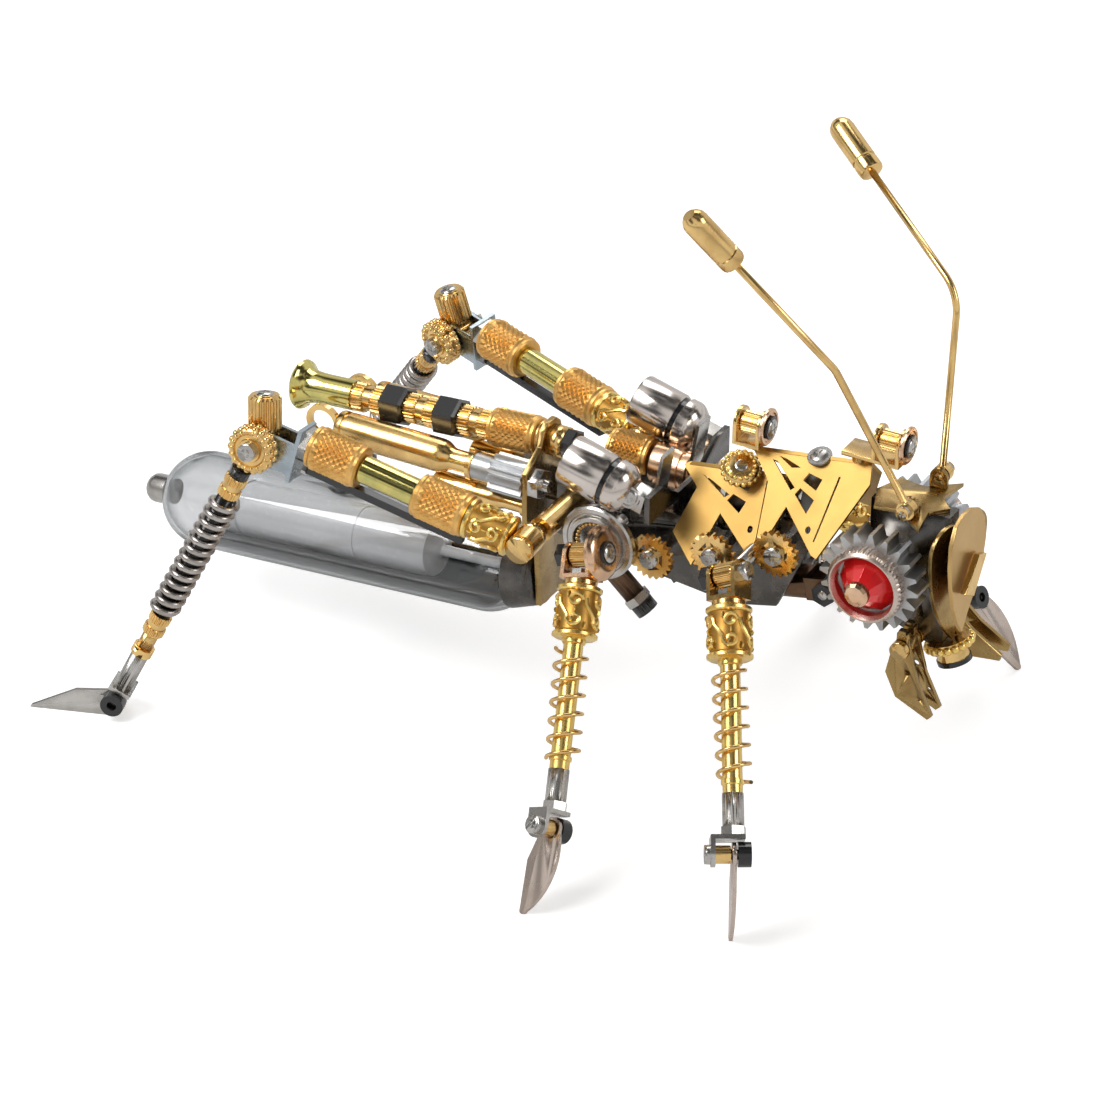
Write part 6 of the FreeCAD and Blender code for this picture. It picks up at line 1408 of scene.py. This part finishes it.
def studio_world():
    world = bpy.data.worlds.new("studio")
    bpy.context.scene.world = world
    world.use_nodes = True
    tree = world.node_tree
    tree.nodes.clear()
    place = add_node(tree, "TexCoord")
    axes = add_node(tree, "SeparateXYZ")
    join(tree, place, "Generated", axes, 0)
    patches = add_node(tree, "TexNoise")
    set_sockets(patches, Scale=ROOM_SCALE, Detail=1.0)
    join(tree, place, "Generated", patches, "Vector")
    room = add_node(tree, "MapRange")
    set_sockets(room, From_Min=0.42, From_Max=0.58, To_Min=ROOM_DARK, To_Max=ROOM_BRIGHT)
    join(tree, patches, "Fac", room, "Value")
    wall = add_node(tree, "MapRange", interpolation_type="SMOOTHSTEP")
    set_sockets(wall, From_Min=HORIZON, From_Max=HORIZON + HORIZON_BLUR, To_Min=1.0, To_Max=0.0)
    join(tree, axes, "Z", wall, "Value")
    level = add_node(tree, "Mix", data_type="FLOAT")
    level.inputs["B"].default_value = 1.0
    join(tree, wall, "Result", level, "Factor")
    join(tree, room, "Result", level, "A")
    background = add_node(tree, "Background")
    join(tree, level, "Result", background, "Strength")
    seen = add_node(tree, "Background")
    set_sockets(seen, Strength=1.0)
    ray = add_node(tree, "LightPath")
    choose = add_node(tree, "MixShader")
    join(tree, ray, "Is Camera Ray", choose, "Fac")
    join(tree, background, 0, choose, 1)
    join(tree, seen, 0, choose, 2)
    out = add_node(tree, "OutputWorld")
    join(tree, choose, 0, out, "Surface")


studio_world()

# %% Lamps
LOOK_AT = Vector((3.226, -0.844, 38.0)) * MM


def aim_at_model(thing, azimuth, elevation, distance):
    """Stand a lamp or the camera off the model at two angles, and turn it to the model."""
    turn, rise = math.radians(azimuth), math.radians(elevation)
    level = math.cos(rise)
    away = Vector((math.sin(turn) * level, -math.cos(turn) * level, math.sin(rise)))
    thing.location = LOOK_AT + away * distance
    thing.rotation_euler = away.to_track_quat("Z", "Y").to_euler()
    bpy.context.scene.collection.objects.link(thing)


def soft_lamp(name, azimuth, elevation, distance, width, watts):
    data = bpy.data.lights.new(name, "AREA")
    data.shape = "SQUARE"
    data.size = width
    data.energy = watts
    aim_at_model(bpy.data.objects.new(name, data), azimuth, elevation, distance)


soft_lamp("key_lamp", -40, 50, 0.7, 0.35, 2.8)
soft_lamp("fill_lamp", 95, 35, 0.8, 0.3, 1.2)
soft_lamp("rear_lamp", 200, 55, 0.8, 0.4, 1.8)

# %% [markdown]
# ## The camera
# The camera looks from the model's front right, 31 degrees above the table,
# through a long lens.

# %% Camera
CAMERA_AZIMUTH = 30.0
CAMERA_ELEVATION = 31.0
CAMERA_DISTANCE = 0.8
LENS = 124.67
camera_data = bpy.data.cameras.new("camera")
camera_data.lens = LENS
camera_data.sensor_width = 36.0
camera_data.clip_start = 0.01
camera = bpy.data.objects.new("camera", camera_data)
aim_at_model(camera, CAMERA_AZIMUTH, CAMERA_ELEVATION, CAMERA_DISTANCE)
bpy.context.scene.camera = camera
print("camera at", [round(v / MM) for v in camera.location], "mm")

bpy.context.scene.view_settings.view_transform = "Standard"
boxes = {"cad": [list(c) for c in CAD_BOX], "visual": [list(c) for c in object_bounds()]}
for name, box in boxes.items():
    print(name, "box in millimetres:", [[round(c / MM, 2) for c in corner] for corner in box])
